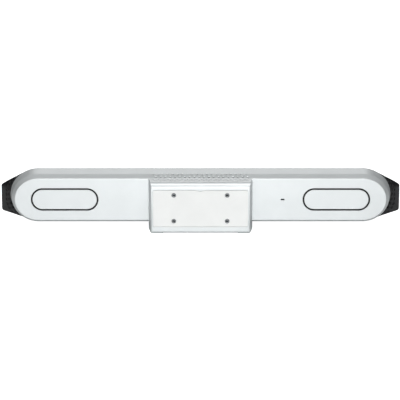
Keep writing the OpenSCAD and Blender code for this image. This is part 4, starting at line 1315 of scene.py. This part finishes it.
@dataclass(frozen=True)
class HoneycombFront:
    """Black grille halves, each a shell cut into six-sided cells, with cloth behind them.

    Attributes:
        bar: The shared places.
        form: The front's outer form.
        wall: Thickness of the shell.
        cloth_t: Thickness of the cloth.
        pitch: Distance from cell to cell along a row.
        cell: Width of a cell across its flats, on the face.
        side_cell: The same on the flank.
        face_margin: Solid band round the face's cells.
        side_rows: Distances of the flank's rows in front of the rim.
        post_r: Radius of the posts that hold the grille.
        posts: Places of these posts.
        rows: Rows of cells above and below the axis that are tried on the face.
        path_steps: Steps of the flank's path in each rounded corner.
        reach: How far a flank's cell runs in and out, as a share of wall and OVERRUN.
        cloth_play: Gap between the shell and the cloth.
        cloth_gap: Gap between a post and the cloth.
    """

    bar: Bar
    form: FrontForm
    wall: float = 2.2
    cloth_t: float = 0.8
    pitch: float = 9.0
    cell: float = 7.2
    side_cell: float = 6.4
    face_margin: float = 6.0
    side_rows: tuple[float, ...] = (3.4, 9.0)
    post_r: float = 3.5
    posts: tuple[Point, ...] = ((90.0, 22.0), (90.0, -22.0), (185.0, 0.0), (330.0, 20.0), (330.0, -20.0))
    rows: int = 8
    path_steps: int = 24
    reach: float = 1.5
    cloth_play: float = 0.05
    cloth_gap: float = 0.3

    def face_cells(self, bm: BMesh) -> int:
        """Add a peg for each cell of the face and return their number."""
        column = self.pitch * math.sqrt(3) / 2
        radius = self.cell / math.sqrt(3)
        front, back = self.bar.face_z + OVERRUN, self.bar.face_z - self.wall - OVERRUN
        count = 0
        for i in range(int((self.bar.tip_x - self.form.start_x) / column) + 1):
            x = self.form.start_x + self.face_margin + i * column
            for j in range(-self.rows, self.rows + 1):
                y = (j + (i % 2) / 2) * self.pitch
                if self.form.inside_face(Vector((x, y)), self.face_margin) and not self._on_post(x, y):
                    peg(bm, Vector((x, y, back)), Vector((x, y, front)), radius, 6, Vector((1, 0, 0)))
                    count += 1
        return count

    def _on_post(self, x: float, y: float) -> bool:
        """Tell whether a cell would cut into one of the posts."""
        return any(math.dist((x, y), post) < self.post_r + self.cell / 4 for post in self.posts)

    def side_cells(self, bm: BMesh, row: int) -> int:
        """Add a peg for each cell in a row of the flank and return their number."""
        radius = self.side_cell / math.sqrt(3)
        pairs = self.form.stations(0.0, self.path_steps)
        share = self.side_rows[row] / self.form.lip_d
        path = [lerp3(a, b, share, self.bar.depth, self.form.lip_z) for a, b in pairs]
        leans = [(b - a).to_3d() + Vector((0, 0, self.form.lip_d)) for a, b in pairs]
        walked = self.pitch * (1 + (row % 2) / 2)
        count = 0
        for start, end, lean, next_lean in zip(path, path[1:], leans, leans[1:]):
            length = (end - start).length
            while walked < length:
                part = walked / length
                uphill = lean.lerp(next_lean, part).normalized()
                out = uphill.cross((end - start).normalized()).normalized()
                middle = start.lerp(end, part)
                if out.dot(middle - Vector((min(middle.x, self.bar.end_x), 0, middle.z))) < 0:
                    out.negate()
                if middle.x > self.form.start_x + self.face_margin:
                    start_point = middle - out * self.reach * self.wall
                    peg(bm, start_point, middle + out * self.reach * OVERRUN, radius, 6, uphill)
                    count += 1
                walked += self.pitch
            walked -= length
        return count

    def _hollow(self, inset: float) -> BMesh:
        """Return the form drawn in, and run past its open sides, to hollow out another."""
        hollow = self.form.solid(inset, OVERRUN)
        for vert in hollow.verts:
            if vert.co.x < self.form.start_x + OVERRUN:
                vert.co.x -= OVERRUN
        return hollow

    def _pegs(self, start: float, end: float, radius: float) -> BMesh:
        """Return a peg at each post's place, from one depth to another."""
        pegs = bmesh.new()
        for x, y in self.posts:
            peg(pegs, Vector((x, y, start)), Vector((x, y, end)), radius, POST_SIDES)
        return pegs

    def shell(self) -> BMesh:
        """Return the right-hand shell with its posts, before the cells are cut."""
        shell = shape_with(self.form.solid(0.0), self._hollow(self.wall))
        posts = self._pegs(self.bar.depth - OVERRUN, self.bar.face_z - self.wall / 2, self.post_r)
        return shape_with(shell, posts, "UNION")

    def cloth(self) -> BMesh:
        """Return the right-hand cloth lining, stretched over the shell's inside."""
        outer = self.form.solid(self.wall + self.cloth_play)
        lining = shape_with(outer, self._hollow(self.wall + self.cloth_t))
        holes = self._pegs(self.bar.depth, self.bar.face_z, self.post_r + self.cloth_gap)
        return shape_with(lining, holes)

    def build(self) -> None:
        """Cut the cells and publish both halves with their cloth."""
        grille = self.shell()
        for row in range(-1, len(self.side_rows)):
            cells = bmesh.new()
            count = self.face_cells(cells) if row < 0 else self.side_cells(cells, row)
            grille = shape_with(grille, cells)
            LOG.info("honeycomb row %d: %d cells a side, %d faces", row, count, len(grille.faces))
        cloth = self.cloth()
        area = sum(face.calc_area() for face in cloth.faces) / 2 * MM**2
        sides = {"left": (mirrored(grille), mirrored(cloth)), "right": (grille, cloth)}
        for side, (shell, lining) in sides.items():
            name = f"honeycomb_{side}"
            self.bar.publish(shell, name, GRILLE_BLACK, [f"grille_{side}"], "grille_black", sharp=28.0)
            piece = self.bar.publish(
                lining, f"cloth_lining_{side}", ACOUSTIC_CLOTH, [f"acoustic_cloth_{side}"], "black_cloth"
            )


@dataclass(frozen=True)
class CameraFascia:
    """Gloss black fascia between the grille halves, with its window, slot and light."""

    bar: Bar
    form: FrontForm
    half_w: float = 60.0
    face_step: float = 1.0
    wall: float = 2.5
    lip_round: float = 3.0
    face_round: float = 5.0
    window_r: float = 13.0
    glass_step: float = 2.0
    glass_t: float = 1.5
    travel: float = 28.0
    knob_y: float = 26.0
    slot_h: float = 4.0
    arm_w: float = 6.0
    light_size: Point = (30.0, 2.6)
    light_y: float = -29.7
    fit: float = 0.3
    end_edge: float = 0.4
    window_edge: float = 0.8
    light_round: float = 1.2
    glass_edge: float = 0.25
    blade_t: float = 1.2
    blade_round: float = 1.5
    arm_round: float = 0.8
    knob_h: float = 3.2
    rib_pitch: float = 1.2
    rib_r: float = 0.35

    def section(self, inset: float, back: float) -> list[Point]:
        """Return the fascia's section as height and depth, drawn in by a wall."""
        depth, lip_z = self.bar.depth - back, self.form.lip_z
        face = self.bar.face_z - self.face_step - inset
        top, bottom = self.form.top - inset, self.bar.rim_r - inset
        drawn = self.form.face_inset - inset / 2
        return rounded(
            [
                (self.bar.rim_r - inset, depth, 0.0),
                (top, lip_z, self.lip_round),
                (top - drawn, face, self.face_round),
                (-bottom + drawn, face, self.face_round),
                (-bottom, lip_z, self.lip_round),
                (-self.bar.rim_r + inset, depth, 0.0),
            ]
        )

    def fascia(self) -> BMesh:
        """Return the fascia with all its openings."""
        bm = across(self.section(0.0, 0.0), self.half_w)
        bmesh.ops.recalc_face_normals(bm, faces=bm.faces)
        ends = [e for e in bm.edges if abs(e.verts[0].co.x - e.verts[1].co.x) < OVERRUN]
        soften(bm, ends, self.end_edge, 2)
        hollow = across(self.section(self.wall, OVERRUN), self.half_w - self.wall)
        bmesh.ops.recalc_face_normals(hollow, faces=hollow.faces)
        bm = shape_with(bm, hollow)
        face = self.bar.face_z - self.face_step
        back = face - self.wall
        window = [
            (0.0, back - OVERRUN),
            (self.window_r, back - OVERRUN),
            (self.window_r, face - self.window_edge),
            (self.window_r + self.window_edge + OVERRUN, face + OVERRUN),
            (0.0, face + OVERRUN),
        ]
        seat_r = self.window_r + self.glass_step + self.fit
        start, end = back - OVERRUN, back + self.glass_t
        seat = [(0.0, start), (seat_r, start), (seat_r, end), (0.0, end)]
        slot_l = self.travel + self.arm_w + 2 * self.fit
        slot = box_outline(slot_l, self.slot_h, self.slot_h / 2.2, self.travel / 2, self.knob_y)
        light_w, light_h = (size + self.fit for size in self.light_size)
        light = box_outline(light_w, light_h, self.light_round, 0.0, self.light_y)
        cuts = [lathe(window, steps=LENS_SIDES), slab(slot, back - OVERRUN, face + OVERRUN)]
        bm = shape_with(bm, join([*cuts, slab(light, back - OVERRUN, face + OVERRUN)]))
        return shape_with(bm, lathe(seat, steps=LENS_SIDES))

    def glass(self) -> BMesh:
        """Return the cover glass with a thin ground edge."""
        low, high = self.bar.box("lens_window")
        radius = high.x
        edge = self.glass_edge
        profile = [
            (0.0, low.z),
            (radius - edge, low.z),
            (radius, low.z + edge),
            (radius, high.z - edge),
            (radius - edge, high.z),
            (0.0, high.z),
        ]
        return lathe(profile, steps=LENS_SIDES)

    def shutter(self) -> BMesh:
        """Return the privacy shutter: blade, arm and a ribbed knob."""
        low, high = self.bar.box("privacy_shutter")
        middle = (low.x + high.x) / 2
        width = high.x - low.x
        front = low.z + self.blade_t
        blade = slab(box_outline(width, 2 * -low.y, self.blade_round, middle), low.z, front, 0.2)
        arm_top = high.y
        arm = box_outline(self.arm_w, arm_top + 2, self.arm_round, middle, arm_top / 2 - 1)
        arm = slab(arm, low.z, front - 0.01)
        knob = box_outline(self.arm_w, self.knob_h, self.arm_round, middle, arm_top - self.knob_h / 2)
        knob = slab(knob, low.z + self.blade_t / 2, high.z, 0.3)
        grooves = bmesh.new()
        for k in (-1.5, -0.5, 0.5, 1.5):
            x = middle + k * self.rib_pitch
            peg(grooves, Vector((x, arm_top - 4, high.z)), Vector((x, arm_top + 1, high.z)), self.rib_r, 8)
        knob = shape_with(knob, grooves)
        return shape_with(shape_with(blade, arm, "UNION"), knob, "UNION")

    def build(self) -> None:
        """Publish the fascia, its glass and its shutter."""
        self.bar.publish(self.fascia(), "camera_fascia", GLOSS_BLACK, ["camera_bezel"], "gloss_black")
        self.bar.publish(self.glass(), "window_glass", COVER_GLASS, ["lens_window"], "window_glass")
        self.bar.publish(
            self.shutter(), "shutter_blade", GREY_ACETAL, ["privacy_shutter"], "shutter_grey", body="shutter"
        )


@dataclass(frozen=True)
class InnerWorks:
    """Solids that keep their shape and get the finish of what they are made of."""

    finishes: tuple[tuple[Finish, tuple[str, ...]], ...] = (
        (DARK_STEEL, ("lock_plate",)),
        (BLACK_ABS, ("front_baffle", "shutter_carrier", "speaker_box_left", "speaker_box_right", "power_socket")),
        (ZINC_STEEL, ("baffle_screws", "grille_screws", "camera_bracket", "camera_screws", "driver_screws")),
        (ZINC_STEEL, ("board_screws",)),
        (CIRCUIT_BOARD, ("camera_board", "status_led_board", "microphone_boards", "main_board")),
        (CIRCUIT_BOARD, ("connector_board", "antennas")),
        (SENSOR_GLASS, ("image_sensor",)),
        (BARREL_BLACK, ("lens_barrel",)),
        (LENS_GLASS, ("lens_elements",)),
        (LIGHT_PIPE, ("status_light_pipe",)),
        (MICROPHONE_GOLD, ("microphones",)),
        (BASKET_STEEL, ("woofer_frame_left", "woofer_frame_right", "tweeters")),
        (FERRITE, ("woofer_magnets",)),
        (PAPER_CONE, ("woofer_cone_left", "woofer_cone_right")),
        (BLACK_RUBBER, ("woofer_surround_left", "woofer_surround_right")),
        (SILK_DOME, ("tweeter_domes",)),
        (CHIP_EPOXY, ("processor", "memory_chips", "reset_switch")),
        (THERMAL_RUBBER, ("thermal_pad",)),
        (SINK_ALUMINIUM, ("heat_sink",)),
        (TINNED_STEEL, ("shield_can", "hdmi_sockets", "usb_sockets", "ethernet_socket")),
        (GREY_ACETAL, ("reset_button",)),
        (RIBBON_FILM, ("ribbon_cables",)),
    )

    def dress(self, frame: dict[str, Any]) -> None:
        """Give each carried-over solid its finish.

        Args:
            frame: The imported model, as it was loaded.
        """
        for finish, nodes in self.finishes:
            for node in nodes:
                piece = frame["nodes"][node]
                for slot in piece.material_slots:
                    slot.material = finish.material()
                LOG.info("solid %s: %s", node, finish.name)


class Seen(Enum):
    """Rays that see the plain white surroundings instead of the dim light from them."""

    CAMERA = "Is Camera Ray"
    TRANSMITTED = "Is Transmission Ray"


def seen_directly(tree: bpy.types.NodeTree) -> bpy.types.NodeSocket:
    """Return 1 for the rays of Seen and 0 for the others."""
    path = add_node(tree, "LightPath", {})
    first, second = (path.outputs[kind.value] for kind in Seen)
    return add_node(tree, "Math", {0: first, 1: second}, operation="MAXIMUM").outputs[0]


@dataclass(frozen=True)
class SoftBox:
    """A soft lamp: where it hangs, how large it is and how much light it gives.

    Attributes:
        name: The lamp's name.
        place: Its middle, in metres.
        size: Its width and height, in metres.
        power: Its power in watts.
        target: What it points at, in metres.
    """

    name: str
    place: tuple[float, float, float]
    size: tuple[float, float]
    power: float
    target: tuple[float, float, float] = (0.0, 0.0, 0.05)

    def hang(self) -> None:
        """Make the lamp and point it at its target."""
        data = bpy.data.lights.new(self.name, "AREA")
        data.shape = "RECTANGLE"
        data.size, data.size_y = self.size
        data.energy = self.power
        lamp = bpy.data.objects.new(self.name, data)
        lamp.location = self.place
        aim = Vector(self.target) - Vector(self.place)
        lamp.rotation_euler = aim.to_track_quat("-Z", "Y").to_euler()
        bpy.context.scene.collection.objects.link(lamp)


@dataclass(frozen=True)
class Studio:
    """Pale floor, white surroundings, soft lamps and the camera behind the bar.

    Attributes:
        bar: The shared places.
        picture: Width and height of the photograph, in pixels.
        middle: Pixel at which the middle of the rear plate stands.
        scale: Size of a pixel at the rear plate, in mm.
        distance: Distance from the camera to the rear plate, in metres.
        elevation: How far the camera looks down, in degrees.
        sensor: Width of the camera's sensor, in mm.
        ambient: Strength of the light from the surroundings.
        side_light: Its strength at both sides of the bar.
        floor_size: Width of the floor, in metres.
        lamps: The soft lamps.
    """

    bar: Bar
    picture: int = 400
    middle: Point = (200.5, 199.55)
    scale: float = 1.888
    distance: float = 4.0
    elevation: float = 14.4
    sensor: float = 36.0
    ambient: float = 0.12
    side_light: float = 0.05
    floor_size: float = 14.0
    lamps: tuple[SoftBox, ...] = (
        SoftBox("key", (0.0, 3.5, 0.24), (1.2, 0.4), 62.0),
        SoftBox("overhead", (0.0, 1.0, 2.3), (1.6, 1.8), 42.0),
        SoftBox("front_fill", (0.0, -3.0, 1.5), (2.0, 1.2), 17.0),
    )

    def camera(self) -> None:
        """Set the camera so that the rear plate stands where the photograph has it."""
        tilt = math.radians(self.elevation)
        plate = Vector((0, self.bar.plate_y, self.bar.axis_z)) * MM
        toward = Vector((0, math.cos(tilt), math.sin(tilt)))
        up = Vector((0, -math.sin(tilt), math.cos(tilt)))
        right = Vector((-1, 0, 0))
        half = self.picture / 2
        aside = (self.middle[0] - half) * self.scale * MM
        above = (half - self.middle[1]) * self.scale * MM
        aim = plate - right * aside - up * above
        data = bpy.data.cameras.new("camera")
        data.sensor_width = self.sensor
        data.lens = self.sensor * self.distance / (self.picture * self.scale * MM)
        data.clip_end = 100.0
        camera = bpy.data.objects.new("camera", data)
        camera.location = aim + toward * self.distance
        camera.rotation_euler = (-toward).to_track_quat("-Z", "Y").to_euler()
        bpy.context.scene.collection.objects.link(camera)
        bpy.context.scene.camera = camera

    def floor(self) -> None:
        """Lay the pale floor, which keeps the object's shadow."""
        bm = bmesh.new()
        bmesh.ops.create_grid(bm, x_segments=1, y_segments=1, size=self.floor_size / 2)
        mesh = bpy.data.meshes.new("floor")
        bm.to_mesh(mesh)
        bm.free()
        material = bpy.data.materials.new("studio floor, pale")
        material.use_nodes = True
        tree = material.node_tree
        tree.nodes.clear()
        paint = add_node(tree, "BsdfDiffuse", {"Color": linear("e2e4e4")})
        glow = add_node(tree, "Emission", {"Color": linear("ffffff"), "Strength": 1.0})
        dark = add_node(tree, "Emission", {"Strength": 0.0})
        lift = add_node(tree, "MixShader", {0: seen_directly(tree), 1: dark.outputs[0], 2: glow.outputs[0]})
        both = add_node(tree, "AddShader", {0: paint.outputs[0], 1: lift.outputs[0]})
        add_node(tree, "OutputMaterial", {"Surface": both.outputs[0]})
        mesh.materials.append(material)
        floor = bpy.data.objects.new("floor", mesh)
        bpy.context.scene.collection.objects.link(floor)

    def surroundings(self) -> None:
        """Make the world white to look at and dim as a lamp."""
        world = bpy.data.worlds.new("studio")
        world.use_nodes = True
        tree = world.node_tree
        tree.nodes.clear()
        direction = add_node(tree, "TexCoord", {}).outputs["Generated"]
        aside = add_node(tree, "SeparateXYZ", {"Vector": direction}).outputs["X"]
        sideways = add_node(tree, "Math", {0: aside}, operation="ABSOLUTE").outputs[0]
        strength = add_node(
            tree,
            "MapRange",
            {"Value": sideways, "From Min": 0.35, "From Max": 0.95, "To Min": self.ambient, "To Max": self.side_light},
        )
        dim = add_node(tree, "Background", {"Color": linear("ffffff"), "Strength": strength.outputs["Result"]})
        white = add_node(tree, "Background", {"Color": linear("ffffff"), "Strength": 1.0})
        mixed = add_node(tree, "MixShader", {0: seen_directly(tree), 1: dim.outputs[0], 2: white.outputs[0]})
        add_node(tree, "OutputWorld", {"Surface": mixed.outputs[0]})
        bpy.context.scene.world = world

    def build(self) -> None:
        """Set up the whole studio."""
        self.camera()
        self.floor()
        self.surroundings()
        for lamp in self.lamps:
            lamp.hang()
        bpy.context.scene.view_settings.view_transform = "Standard"


def main() -> None:
    """Build the bar's pieces in order."""
    logging.basicConfig(level=logging.INFO, format="%(name)s: %(message)s")
    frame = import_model()
    bar = Bar.from_frame()
    Studio(bar).build()
    vents = Vents()
    housing = RearHousing(bar, vents)
    housing.build()
    OvalPorts(bar, housing).build()
    ConnectorBlock(bar, housing, vents).build()
    CoverPanel(bar).build()
    FootPads(bar).build()
    form = FrontForm(bar)
    HoneycombFront(bar, form).build()
    CameraFascia(bar, form).build()
    InnerWorks().dress(frame)


if __name__ == "__main__":
    main()
